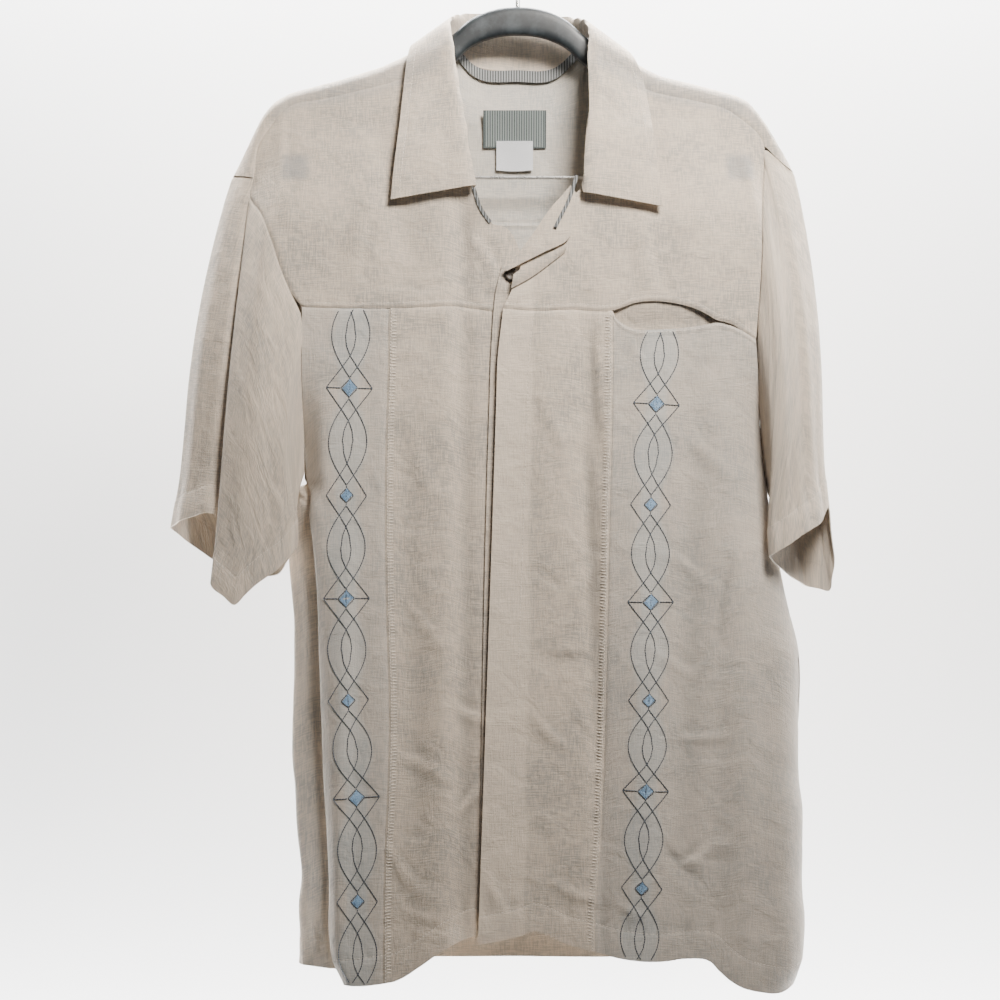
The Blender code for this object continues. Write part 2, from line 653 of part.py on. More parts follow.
def sleeves():
    right = armhole_loop(SHOULDER_END_RIGHT, ARMHOLE_RIGHT, UNDERARM_RIGHT, ARMHOLE_BACK_RIGHT)
    sleeve("right_sleeve", right, RIGHT_SLEEVE, (-2.8, 0, 0))
    left = armhole_loop(SHOULDER_END_LEFT, ARMHOLE_LEFT[1:], SIDE_LEFT[1:2], ARMHOLE_BACK_LEFT)
    sleeve("left_sleeve", left, LEFT_SLEEVE, (2.0, 0, 0))


def collar():
    """The collar: a stand from the neck seam up to the roll line, and a fall that turns down from it."""
    right = sample(COLLAR[: NECK_START + 1], 7)
    left = sample(COLLAR[NECK_END:], 7)
    stations = np.concatenate([right[:-1], neck_stations, left[1:]])
    rows = []
    for row in stations:
        seam, roll, edge = row[:3], row[3:6], row[6:]
        front_share = smooth((-3 - seam[1]) / 6)
        shoulder_share = math.exp(-(((seam[1] + 6) / 6) ** 2))
        shift_x = -math.copysign(2.2 * shoulder_share, seam[0])
        rise = 2.2 - 1.6 * front_share + 2.4 * shoulder_share
        seam = seam + np.array((shift_x, -2.0 * front_share, rise))
        fall = edge - roll
        turned = [roll + fall * share for share in (0, 0.06, 0.3, 0.65)]
        rows.append([seam, (seam + roll) / 2] + turned + [edge])
    grid = np.array(rows)
    grid[:, 3:6, 1] += np.array((-1.4, -1.6, -1.0)) * np.where(grid[:, 2, 1] < 0, 1, -1)[:, None]
    add_wall("collar", grid, LINEN)


def labels():
    """Tape along the neck seam, the main label and the care label on the inside of the yoke."""
    rows = []
    for row in neck_stations[3:-3]:
        inward = np.array((-row[0], -18 - row[1], 0))
        inward = 3.0 * inward / np.linalg.norm(inward)
        rows.append([row[:3] + inward + np.array((0, 0, 3)), row[:3] + inward + np.array((0, 0, -7.5))])
    add_wall("neck_tape", np.array(rows), TAPE, thickness=0.8)
    for name, left, right, top, bottom, lift, look in (
        ("neck_label", -31, 26, -163, -196, 2.2, LABEL),
        ("care_label", -19, 14, -190, -217, 3.6, WHITE),
    ):
        upper = sample(((left, top), (right, top)), 4)
        lower = sample(((left, bottom), (right, bottom)), 4)
        flat = patch(upper, lower, sample((upper[0], lower[0]), 3), sample((upper[-1], lower[-1]), 3))
        add_wall(name, drape(flat, lambda x, z: back_y(x, z) - lift), look, thickness=0.8)


def buttons():
    for number, height in enumerate(BUTTON_HEIGHTS, start=1):
        centre_x = float(across(COVER_EDGE, height)) + (7 if number == 1 else 14)
        lies_on = float(front_y(centre_x, height)) + FLY_OFFSET - CLOTH / 2
        centre_y = lies_on - SEAM_GAP - BUTTON_THICKNESS / 2
        path = np.array([(centre_x, centre_y + dy, height) for dy in (-1.2, -0.9, 0.9, 1.2)])
        sections = []
        for radius in (BUTTON_RADIUS - 0.6, BUTTON_RADIUS, BUTTON_RADIUS, BUTTON_RADIUS - 0.6):
            angles = np.linspace(0, 2 * math.pi, 20, endpoint=False)
            sections.append(np.stack([radius * np.cos(angles), 0 * angles, radius * np.sin(angles)], axis=1))
        add_sweep(f"button_{number}", path, sections, BUTTON)


def hanger():
    """A moulded body with sloping arms, two posts that carry a metal bar, and a wire hook."""
    rows = []
    for x, drop, depth in HANGER_ARM:
        rows.append((x, ridge_height(x) - drop, depth))
    for x, top, depth in HANGER_ARCH:
        rows.append((x, top, depth))
    for x, top, depth in HANGER_ARCH[-2::-1]:
        rows.append((-x, top, depth))
    for x, drop, depth in HANGER_ARM[::-1]:
        rows.append((-x, ridge_height(-x) - drop, depth))
    path = []
    sections = []
    for x, top, depth in rows:
        path.append(np.array((x, 0.0, top - depth / 2)))
        ring = []
        for angle in np.linspace(0, 2 * math.pi, 12, endpoint=False):
            across_y = math.copysign(abs(math.cos(angle)) ** 0.6, math.cos(angle)) * ARM_THICKNESS / 2
            up = math.copysign(abs(math.sin(angle)) ** 0.6, math.sin(angle)) * depth / 2
            ring.append((0, across_y, up))
        sections.append(np.array(ring))
    add_sweep("hanger_body", np.array(path), sections, PLASTIC)
    for name, side in (("hanger_post_right", -1), ("hanger_post_left", 1)):
        path = np.array([(side * BAR_END, 0, z) for z in (0, BAR_HEIGHT + 3, BAR_HEIGHT - 5)])
        section = np.array(((-13, -3, 0), (13, -3, 0), (13, 3, 0), (-13, 3, 0)), float)
        upper = section.copy()
        table = np.asarray(HANGER_ARM)
        for corner in upper:
            reach = abs(side * BAR_END + corner[0])
            below = np.interp(-reach, table[:, 0], table[:, 1] + table[:, 2])
            corner[2] = ridge_height(side * reach) - below - 0.9
        add_sweep(name, path, [upper, section, section * 0.85], PLASTIC)
    reach = BAR_END - 13.3
    add_tube("hanger_bar", [(x, 0, BAR_HEIGHT) for x in np.linspace(-reach, reach, 3)], BAR_RADIUS, STEEL, 8)
    centre = np.array((0, 0, WIRE_RADIUS - HOOK_RADIUS))
    wire = [(0, 0, -74.6), (0, 0, -60), (0, 0, -50)]
    for angle in np.radians(np.linspace(-70, 200, 19)):
        wire.append(tuple(centre + HOOK_RADIUS * np.array((math.cos(angle), 0, math.sin(angle)))))
    add_tube("hanger_hook", wire, WIRE_RADIUS, STEEL, 10)


for old in list(bpy.data.objects):
    bpy.data.objects.remove(old)
right_front()
left_front()
fly_layer()
lapel()
pocket()
back_yoke()
back_body()
sleeves()
collar()
labels()
buttons()
hanger()
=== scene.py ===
"""A short-sleeved linen camp shirt that hangs on a moulded hanger with a metal bar and a wire hook.

Lengths are in millimetres until a mesh is made, seen from the front as x and z, with y as the depth.
The shirt faces -Y. "Right" and "left" are the wearer's, so the right front is on the -X side.
"""

import math

import bpy
import numpy as np
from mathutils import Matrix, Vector


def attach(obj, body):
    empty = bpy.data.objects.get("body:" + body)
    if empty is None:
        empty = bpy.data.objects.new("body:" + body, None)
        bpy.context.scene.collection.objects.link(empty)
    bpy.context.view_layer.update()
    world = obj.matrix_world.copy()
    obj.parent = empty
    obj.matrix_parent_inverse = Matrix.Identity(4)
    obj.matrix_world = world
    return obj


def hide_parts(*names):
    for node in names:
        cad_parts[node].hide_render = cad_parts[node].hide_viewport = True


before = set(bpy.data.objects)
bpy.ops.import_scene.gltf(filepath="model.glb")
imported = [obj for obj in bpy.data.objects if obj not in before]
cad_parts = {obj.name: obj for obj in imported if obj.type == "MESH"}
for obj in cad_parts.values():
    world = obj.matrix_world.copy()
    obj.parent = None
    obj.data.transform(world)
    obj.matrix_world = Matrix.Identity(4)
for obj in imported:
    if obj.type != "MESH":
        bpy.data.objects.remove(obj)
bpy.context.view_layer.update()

# The hanger: one black plastic moulding with sloping arms and two flat posts, a plated steel bar held
# between the posts, and a plated wire hook set in the middle of the arch. The shirt hangs from its arms.
MM = 0.001
RIDGE_RIGHT = (
    (-256, -240), (-254, -227), (-246, -207), (-238, -189), (-227, -173), (-218, -161),
    (-202, -152), (-156, -140), (-121, -129), (-97, -118), (-68, -103), (-55, -96),
)
RIDGE_LEFT = (
    (53, -96), (72, -106), (107, -127), (126, -137), (163, -146), (196, -155),
    (207, -161), (215, -169), (220, -179), (232, -203), (246, -225), (248, -240),
)
ARM_THICKNESS = 10.0
WIRE_RADIUS = 2.0
HOOK_RADIUS = 22.0
BAR_END = 196.0
HANGER_ARM = (
    (-217, 6.5, 9), (-208, 4.6, 12), (-192, 4.0, 15), (-165, 3.8, 18),
    (-130, 3.8, 21), (-98, 3.6, 23), (-70, 4.2, 25),
)
HANGER_ARCH = ((-55, -97, 26), (-45, -88, 25), (-30, -80, 25), (-15, -76, 25), (0, -75, 25))


def curved(points, steps, axis=0, closed=False, even=False):
    """Puts a smooth curve through points, or rows or columns of them, with so many steps between two."""
    lines = np.moveaxis(np.asarray(points, float), axis, 0)
    ends = np.roll(lines, -1, axis=0) if closed else lines[1:]
    spans = ends - lines[: len(ends)]
    if even:
        lengths = np.ones(len(spans)).reshape(-1, *[1] * (lines.ndim - 1))
    else:
        lengths = np.maximum(np.linalg.norm(spans, axis=-1, keepdims=True), 1e-6)
    slopes = spans / lengths
    if closed:
        before, gap = np.roll(slopes, 1, axis=0), np.roll(lengths, 1, axis=0)
        tangents = (slopes * gap + before * lengths) / (gap + lengths)
        leaving, arriving = tangents, np.roll(tangents, -1, axis=0)
    else:
        inner = (slopes[1:] * lengths[:-1] + slopes[:-1] * lengths[1:]) / (lengths[1:] + lengths[:-1])
        tangents = np.concatenate([slopes[:1], inner, slopes[-1:]])
        leaving, arriving = tangents[:-1], tangents[1:]
    starts = lines[: len(ends)]
    made = []
    for t in np.arange(steps) / steps:
        place = starts * (1 + t * t * (2 * t - 3)) + ends * (t * t * (3 - 2 * t))
        made.append(place + lengths * (leaving * (t * (1 - t) ** 2) + arriving * (t * t * (t - 1))))
    made = np.stack(made, axis=1).reshape(-1, *lines.shape[1:])
    if not closed:
        made = np.concatenate([made, lines[-1:]])
    return np.moveaxis(made, 0, axis)


def sample_at(points, shares):
    """Points of a line at the given shares of its length."""
    points = np.asarray(points, float)
    steps = np.linalg.norm(np.diff(points, axis=0), axis=1)
    length = np.concatenate([[0], np.cumsum(steps)])
    places = np.asarray(shares) * length[-1]
    return np.stack([np.interp(places, length, points[:, k]) for k in range(points.shape[1])], axis=1)


def smooth(value):
    value = np.clip(value, 0, 1)
    return value * value * (3 - 2 * value)


def ridge_height(x):
    """Height of the line along the top of both shoulders, over the hanger's arms."""
    rows = np.asarray(RIDGE_RIGHT + RIDGE_LEFT, float)
    near = [np.interp(np.asarray(x) + shift, rows[:, 0], rows[:, 1]) for shift in (-4, -2, 0, 2, 4)]
    return sum(near) / len(near)


def add_mesh(name, points, faces, look, sharp=40):
    """Adds a closed mesh, turned so that its faces point out."""
    points = np.asarray(points, float) * MM
    faces = [tuple(face) for face in faces]
    mesh = bpy.data.meshes.new(name)
    mesh.from_pydata(points.tolist(), [], faces)
    mesh.calc_loop_triangles()
    triangles = np.empty(len(mesh.loop_triangles) * 3, np.int32)
    mesh.loop_triangles.foreach_get("vertices", triangles)
    if np.linalg.det(points[triangles.reshape(-1, 3)]).sum() < 0:
        mesh.flip_normals()
    mesh.materials.append(look)
    mesh.shade_smooth()
    mesh.set_sharp_from_angle(angle=math.radians(sharp))
    made = bpy.data.objects.new(name, mesh)
    bpy.context.scene.collection.objects.link(made)
    return made


def add_sweep(name, path, sections, look):
    """A closed bar through sections, each given as offsets from its point of the path."""
    count = len(sections[0])
    points = [path[i] + offset for i, section in enumerate(sections) for offset in section]
    faces = []
    for i in range(len(path) - 1):
        for j in range(count):
            a = i * count + j
            b = i * count + (j + 1) % count
            faces.append((a, b, b + count, a + count))
    faces.append(tuple(reversed(range(count))))
    faces.append(tuple(range(len(points) - count, len(points))))
    return add_mesh(name, points, faces, look)


def add_wire(name, path, radii, look, sides=20):
    """A round wire along a path that stays in one plane of even y, with a radius for each point."""
    path = np.asarray(path, float)
    direction = np.gradient(path, axis=0)
    direction /= np.linalg.norm(direction, axis=1, keepdims=True)
    sections = []
    for tangent, radius in zip(direction, radii):
        upright = np.cross(tangent, (0.0, 1.0, 0.0))
        angles = np.linspace(0, 2 * math.pi, sides, endpoint=False)[:, None]
        sections.append(radius * (np.cos(angles) * np.array((0.0, 1.0, 0.0)) + np.sin(angles) * upright))
    return add_sweep(name, path, sections, look)


def add_node(tree, kind, inputs=None, **settings):
    """Adds a node with its settings. Each input is a value, or a socket of another node to link."""
    made = tree.nodes.new(kind)
    for key, value in settings.items():
        setattr(made, key, value)
    for key, value in (inputs or {}).items():
        if isinstance(value, bpy.types.NodeSocket):
            tree.links.new(value, made.inputs[key])
        else:
            made.inputs[key].default_value = value
    return made


def new_material(name, colour, roughness, metallic=0.0):
    """A material with its main shader, whose colour the nodes of each finish may replace."""
    made = bpy.data.materials.new(name)
    made.use_nodes = True
    made.diffuse_color = (*colour, 1)
    shader = made.node_tree.nodes["Principled BSDF"]
    shader.inputs["Base Color"].default_value = (*colour, 1)
    shader.inputs["Roughness"].default_value = roughness
    shader.inputs["Metallic"].default_value = metallic
    return made, made.node_tree, shader


def mixed(tree, factor, first, second):
    """Colour between two, by a factor."""
    inputs = {"Factor": factor, 6: first, 7: second}
    return add_node(tree, "ShaderNodeMix", inputs, data_type="RGBA").outputs[2]


def moulded_plastic():
    """Black plastic with a fine spark-eroded grain and dusty patches."""
    made, tree, shader = new_material("moulded plastic", (0.02, 0.026, 0.03), 0.42)
    place = add_node(tree, "ShaderNodeTexCoord").outputs["Object"]
    grain = add_node(tree, "ShaderNodeTexNoise", {"Vector": place, "Scale": 2600, "Detail": 2})
    dust = add_node(
        tree, "ShaderNodeTexNoise", {"Vector": place, "Scale": 45, "Detail": 5, "Roughness": 0.65}
    )
    patch_of = add_node(
        tree, "ShaderNodeMapRange", {"Value": dust.outputs[0], "From Min": 0.42, "From Max": 0.72}
    )
    colour = mixed(tree, patch_of.outputs[0], (0.014, 0.018, 0.021, 1), (0.045, 0.055, 0.062, 1))
    gloss = add_node(tree, "ShaderNodeMapRange", {"Value": dust.outputs[0], "To Min": 0.3, "To Max": 0.58})
    bump = add_node(
        tree, "ShaderNodeBump", {"Strength": 0.25, "Distance": 0.0002, "Height": grain.outputs[0]}
    )
    tree.links.new(colour, shader.inputs["Base Color"])
    tree.links.new(gloss.outputs[0], shader.inputs["Roughness"])
    tree.links.new(bump.outputs[0], shader.inputs["Normal"])
    return made


def plated_steel():
    """Bright plated wire with drawing lines along it and faint dull spots."""
    made, tree, shader = new_material("plated steel", (0.7, 0.7, 0.68), 0.3, 0.75)
    place = add_node(tree, "ShaderNodeTexCoord").outputs["Object"]
    spots = add_node(tree, "ShaderNodeTexNoise", {"Vector": place, "Scale": 160, "Detail": 4})
    drawn = add_node(tree, "ShaderNodeTexNoise", {"Vector": place, "Scale": 1400, "Detail": 1})
    gloss = add_node(tree, "ShaderNodeMapRange", {"Value": spots.outputs[0], "To Min": 0.14, "To Max": 0.42})
    colour = mixed(tree, spots.outputs[0], (0.78, 0.78, 0.76, 1), (0.62, 0.61, 0.59, 1))
    bump = add_node(
        tree, "ShaderNodeBump", {"Strength": 0.15, "Distance": 0.0001, "Height": drawn.outputs[0]}
    )
    tree.links.new(colour, shader.inputs["Base Color"])
    tree.links.new(gloss.outputs[0], shader.inputs["Roughness"])
    tree.links.new(bump.outputs[0], shader.inputs["Normal"])
    return made


def hanger_stations():
    """The middle, width and depth of the moulding from the right arm's tip over the arch to the left tip."""
    rows = [(x, ridge_height(x) - drop, depth) for x, drop, depth in HANGER_ARM]
    rows += list(HANGER_ARCH) + [(-x, top, depth) for x, top, depth in HANGER_ARCH[-2::-1]]
    rows += [(-x, ridge_height(-x) - drop, depth) for x, drop, depth in HANGER_ARM[::-1]]
    return curved(np.array(rows), 5)


def add_hanger(plastic, steel):
    stations = hanger_stations()
    path = [(x, 0.0, top - depth / 2) for x, top, depth in stations]
    sections = []
    for x, top, depth in stations:
        ring = []
        for angle in np.linspace(0, 2 * math.pi, 36, endpoint=False):
            side = math.copysign(abs(math.cos(angle)) ** 0.6, math.cos(angle)) * ARM_THICKNESS / 2
            up = math.copysign(abs(math.sin(angle)) ** 0.6, math.sin(angle)) * depth / 2
            ring.append((0, side, up))
        sections.append(np.array(ring))
    body = add_sweep("hanger_moulding", np.array(path), sections, plastic)
    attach(body, "root")
    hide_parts("hanger_body")
    centre = np.array((0, 0, WIRE_RADIUS - HOOK_RADIUS))
    wire = [(0, 0, -74.6), (0, 0, -60), (0, 0, -50)]
    for angle in np.radians(np.linspace(-70, 200, 19)):
        wire.append(tuple(centre + HOOK_RADIUS * np.array((math.cos(angle), 0, math.sin(angle)))))
    wire = curved(np.array(wire, float), 4)
    radii = np.full(len(wire), WIRE_RADIUS)
    radii[-4:] = (1.9, 1.7, 1.35, 0.8)
    hook = add_wire("hanger_hook_wire", wire, radii, steel)
    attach(hook, "root")
    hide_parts("hanger_hook")
    for node, look in (
        ("hanger_post_right", plastic), ("hanger_post_left", plastic), ("hanger_bar", steel),
    ):
        bpy.data.objects[node].material_slots[0].material = look


add_hanger(moulded_plastic(), plated_steel())


# The back: one wide panel of slubby linen from the yoke seam to a turned and stitched hem. On the right it
# runs round the side seam and stands forward as a strip behind the folded front; it hangs from the yoke.
CLOTH = 1.0
STEP = 3.3
HEM_DEPTH = 26.0
RIDGE_RADIUS = 9.0
BELLY = 29.0
BACK_DEPTH = 24.0
SIDE_ROUNDING = 44.0
BACK_YOKE_SEAM = -266.0
FOLD_EDGE_RIGHT = (
    (-189, -346), (-189, -366), (-189, -427), (-187, -497), (-184, -521), (-180, -550), (-176, -597),
    (-174, -655), (-172, -714), (-170, -761), (-167, -809), (-165, -855), (-165, -897), (-162, -918),
    (-152, -940),
)
SIDE_LEFT = (
    (208, -375), (214, -445), (223, -515), (232, -568), (239, -603), (250, -646), (250, -761),
    (254, -789), (254, -817), (253, -859), (256, -886), (255, -914), (253, -931), (244, -944),
)
STRIP_RIGHT = (
    (-201, -497), (-206, -530), (-205, -574), (-200, -620), (-200, -668), (-203, -714), (-204, -750),
    (-201, -768), (-200, -809), (-194, -851), (-199, -879), (-197, -896), (-197, -935),
)
ARMHOLE_BACK_RIGHT = ((-189, -8, -497), (-192, 8, -460), (-204, 20, -400), (-222, 22, -330), (-240, 16, -266))
ARMHOLE_BACK_LEFT = ((223, 0, -515), (219, 12, -470), (218, 20, -410), (228, 22, -330), (240, 16, -266))

# Large soft folds: x and z of both ends, half width, and height towards the viewer
FOLDS = (
    (-150, -560, -158, -900, 12, 5.0),
    (-96, -420, -90, -780, 16, -3.0),
    (-60, -600, -74, -900, 14, 3.5),
    (30, -380, 44, -620, 18, 3.0),
    (60, -360, 76, -900, 9, -4.0),
    (100, -470, 118, -900, 20, 4.5),
    (160, -420, 150, -800, 17, -4.0),
    (196, -560, 200, -930, 14, 5.0),
    (-120, -180, -90, -300, 18, -2.5),
    (120, -190, 140, -300, 18, -2.5),
)
BACK_FOLDS = (
    (-110, -300, -120, -900, 20, -4.0),
    (-30, -300, -20, -900, 16, 5.0),
    (60, -300, 74, -900, 18, -4.0),
    (150, -420, 160, -900, 20, 4.0),
)

# Creases of the front: x and z of both ends, bow to one side, half width and height towards the viewer
CREASES = (
    (128, -722, 192, -718, 3, 3.5, 1.3), (24, -845, 74, -866, 4, 5, 1.5), (142, -838, 192, -812, -4, 6, 1.4),
    (-60, -792, -30, -760, 3, 5, 1.3), (-112, -738, -56, -764, -4, 6, 1.4), (8, -694, 50, -736, 4, 5, 1.3),
    (46, -770, 74, -744, 3, 4.5, 1.2), (126, -812, 164, -848, 4, 5, -1.3), (-116, -812, -74, -866, 5, 6, 1.5),
    (66, -350, 76, -500, 3, 5, -2.0), (100, -374, 112, -396, 2, 3, 1.0), (-209, -160, -199, -280, 3, 6, 1.5),
    (-43, -276, -10, -346, -3, 6, 1.5), (110, -262, 122, -346, 3, 8, 1.4),
    (-126, -252, -144, -326, 4, 8, 1.3),
    (196, -200, 208, -270, -3, 6, 1.4), (-98, -420, -70, -520, 4, 7, 1.0), (20, -420, 44, -500, -4, 7, 1.1),
    (-96, -600, -58, -648, 4, 6, 1.2), (124, -560, 170, -590, -3, 6, 1.1), (40, -610, 66, -560, 4, 6, 1.1),
    (150, -450, 196, -500, 5, 8, 1.3), (190, -560, 178, -650, 4, 7, -1.2), (110, -640, 160, -668, 3, 5, 1.0),
    (-60, -690, -20, -712, 3, 5, 1.2), (-176, -640, -168, -760, 3, 6, -1.2),
    (-184, -820, -166, -902, 3, 4, 1.3),
    (-28, -838, -6, -880, 3, 4, 1.2), (84, -868, 112, -884, -2, 4, 1.2), (-100, -872, -60, -884, 2, 4, 1.0),
)

# Creases of the back, in the same columns
BACK_CREASES = (
    (-200, -300, -60, -330, 8, 7, 1.4), (190, -290, 60, -335, -8, 7, 1.4),
    (-150, -420, -90, -520, 6, 6, -1.2),
    (30, -380, 90, -470, -5, 6, 1.3), (130, -500, 70, -640, 7, 7, -1.4), (-60, -560, -110, -700, 5, 6, 1.2),
    (0, -640, 40, -800, -6, 7, 1.3), (190, -640, 150, -780, 5, 6, 1.2), (-160, -760, -110, -880, -4, 6, -1.3),
    (60, -800, 20, -905, 4, 5, 1.0), (120, -850, 160, -915, 3, 5, -1.0), (-40, -350, -20, -450, 3, 6, -1.1),
)

# Rows kept close to a sewn edge, by how far they lie from it
EDGE_ROWS = {
    "plain": (0, 1.4),
    "seam": (0, 0.8, 1.8, 3.2),
    "topstitched": (0, 0.8, 1.8, 3.2, 4.2, 5.0, 5.8, 7.0),
    "hem": (0, 1.0, 2.4, 6.0, 22.0, 23.4, 24.6, 25.6, 26.8, 28.2),
}


def across(table, z):
    """The x of a line, given as rows of x and z from top to bottom, at the height z."""
    rows = np.asarray(table, float)[::-1]
    near = [np.interp(np.asarray(z) + shift, rows[:, 1], rows[:, 0]) for shift in (-9, -4.5, 0, 4.5, 9)]
    return sum(near) / len(near)


def fold_height(folds, x, z):
    total = np.zeros(np.broadcast(x, z).shape)
    for x0, z0, x1, z1, width, height in folds:
        share = np.clip((z - z0) / (z1 - z0), 0, 1)
        middle = x0 + (x1 - x0) * share
        fade = np.sin(math.pi * np.clip((z - z0 - 30) / (z1 - z0 - 60), 0.03, 1) ** 0.8 * 0.86)
        inside = (z <= z0 + 30) & (z >= z1 - 30)
        total = total + np.where(inside, height * np.abs(fade), 0) * np.exp(-(((x - middle) / width) ** 2))
    return total


def crease_height(creases, x, z):
    total = np.zeros(np.broadcast(x, z).shape)
    for x0, z0, x1, z1, bow, width, height in creases:
        length = math.hypot(x1 - x0, z1 - z0)
        along = ((x - x0) * (x1 - x0) + (z - z0) * (z1 - z0)) / length**2
        aside = ((x - x0) * (z1 - z0) - (z - z0) * (x1 - x0)) / length
        share = np.clip(along, 0, 1)
        reach = width * (0.6 + 0.5 * share)
        total += height * np.sin(math.pi * share) ** 0.8 * np.exp(
            -(((aside - bow * 4 * share * (1 - share)) / reach) ** 2)
        )
    return total


def side_factor(x, z):
    """Rounds the left side away to its side seam, below the armhole."""
    share = (x - (across(SIDE_LEFT, z) - SIDE_ROUNDING)) / SIDE_ROUNDING
    full = np.sqrt(1 - np.clip(share, 0, 1) ** 2)
    blend = smooth((-375 - z) / 110)
    return 1 + (full - 1) * blend


def fold_share(z):
    """How far the right side is folded under, from none at the underarm to all of it below."""
    return smooth((-497 - z) / 34)


def underarm_factor(x, z):
    """Draws the right front back to the underarm, where it meets the back."""
    share = np.clip((across(FOLD_EDGE_RIGHT, z) + 24 - x) / 24, 0, 1)
    blend = smooth((-385 - z) / 105) * (1 - fold_share(z))
    return 1 - 0.66 * (1 - np.sqrt(1 - share**2)) * blend


def fold_round(x, z):
    """Rolls the right front's folded edge back."""
    share = np.clip((x - across(FOLD_EDGE_RIGHT, z)) / 9, 0, 1)
    return 5 * (1 - share) ** 2 * fold_share(z)


def front_y(x, z):
    """Depth of the front cloth, from the hanger's ridge down over the belly, with its folds and creases."""
    x = np.asarray(x, float)
    z = np.asarray(z, float)
    drop = np.maximum(ridge_height(x) - z, 0)
    round_part = np.sqrt(RIDGE_RADIUS**2 - (RIDGE_RADIUS - np.minimum(drop, RIDGE_RADIUS)) ** 2)
    belly = (BELLY - RIDGE_RADIUS) * smooth((drop - RIDGE_RADIUS) / 130)
    rises = fold_height(FOLDS, x, z) + crease_height(CREASES, x, z)
    return fold_round(x, z) - (round_part + belly + rises) * side_factor(x, z) * underarm_factor(x, z)


def back_y(x, z):
    drop = np.maximum(ridge_height(x) - z, 0)
    round_part = np.sqrt(RIDGE_RADIUS**2 - (RIDGE_RADIUS - np.minimum(drop, RIDGE_RADIUS)) ** 2)
    belly = (BACK_DEPTH - RIDGE_RADIUS) * smooth((drop - RIDGE_RADIUS) / 110)
    return round_part + belly + fold_height(BACK_FOLDS, x, z) + crease_height(BACK_CREASES, x, z)


def normals_of(grid, closed=False):
    around = np.roll(grid, -1, axis=1) - np.roll(grid, 1, axis=1) if closed else np.gradient(grid, axis=1)
    normal = np.cross(np.gradient(grid, axis=0), around)
    return normal / np.maximum(np.linalg.norm(normal, axis=-1, keepdims=True), 1e-9)


def outward_of(grid, closed=False):
    """Normals on the side that is away from the middle of the shirt, or of a sleeve."""
    normal = normals_of(grid, closed)
    middle = grid.mean(axis=(0, 1)) if closed else np.array((0.0, 0.0, grid[..., 2].mean()))
    turned = (normal * (grid - middle) * (1, 1, 0 if closed else 0.2)).sum()
    return normal if turned > 0 else -normal


def respaced(grid, axis, start="plain", end="plain", step=STEP):
    """Spaces a grid's rows or columns evenly, with close ones beside its sewn edges."""
    lines = np.moveaxis(grid, axis, 0)
    gaps = np.linalg.norm(np.diff(lines, axis=0), axis=-1)
    length = np.concatenate([np.zeros((1, gaps.shape[1])), np.cumsum(gaps, axis=0)])
    near = np.array(EDGE_ROWS[start])
    far = np.array(EDGE_ROWS[end])[::-1]
    between = max(int(round((length[-1].mean() - near[-1] - far[0]) / step)), 2)
    made = []
    for lane in range(lines.shape[1]):
        total = length[-1, lane]
        scale = min(1.0, 0.4 * total / max(near[-1], far[0], 1e-6))
        middle = np.linspace(near[-1] * scale, total - far[0] * scale, between + 1)[1:-1]
        places = np.concatenate([near * scale, middle, total - far * scale])
        made.append(
            np.stack([np.interp(places, length[:, lane], lines[:, lane, k]) for k in range(grid.shape[2])], 1)
        )
    return np.moveaxis(np.stack(made, axis=1), 0, axis)


def edge_distance(grid, axis, from_end):
    lines = np.moveaxis(grid, axis, 0)
    lines = lines[::-1] if from_end else lines
    gaps = np.linalg.norm(np.diff(lines, axis=0), axis=-1)
    length = np.concatenate([np.zeros((1, gaps.shape[1])), np.cumsum(gaps, axis=0)])
    return np.moveaxis(length[::-1] if from_end else length, 0, axis)


def ripple(along):
    """Uneven waves of about 8 to 20 mm, as a row of stitches draws them."""
    return (np.sin(along / 1.7) + np.sin(along / 2.9 + 1.3) + np.sin(along / 4.1 + 4.0)) / 3


def sewn(grid, outward, top=None, bottom=None, first=None, last=None):
    """Gives a grid the dips, steps and puckers of the sewing along its edges."""
    rise = np.zeros(grid.shape[:2])
    for kind, axis, from_end in ((top, 0, False), (bottom, 0, True), (first, 1, False), (last, 1, True)):
        if kind is None:
            continue
        away = edge_distance(grid, axis, from_end)
        along = edge_distance(grid, 1 - axis, False)
        if kind in ("seam", "topstitched"):
            rise -= 0.9 * np.exp(-((away / 1.7) ** 2))
        if kind == "topstitched":
            rise += 0.35 * smooth((6.5 - away) / 1.5) - 0.4 * np.exp(-(((away - 5) / 1.1) ** 2))
            rise += 0.35 * ripple(along) * np.exp(-(((away - 5) / 6) ** 2))
        if kind == "hem":
            rise += 0.5 * smooth((HEM_DEPTH + 1 - away) / 1.6) - 0.55 * np.exp(
                -(((away - HEM_DEPTH + 1.4) / 1.2) ** 2)
            )
            rise += 0.55 * ripple(along) * np.exp(-(((away - HEM_DEPTH) / 11) ** 2))
    return grid + outward * rise[..., None]


def line_at(grid, distance, axis=0, from_end=False):
    """The line on a grid at a distance from one of its edges."""
    away = np.moveaxis(edge_distance(grid, axis, from_end), axis, 0)
    lines = np.moveaxis(grid, axis, 0)
    if from_end:
        away, lines = away[::-1], lines[::-1]
    made = []
    for lane in range(lines.shape[1]):
        made.append([np.interp(distance, away[:, lane], lines[:, lane, k]) for k in range(3)])
    return np.array(made)


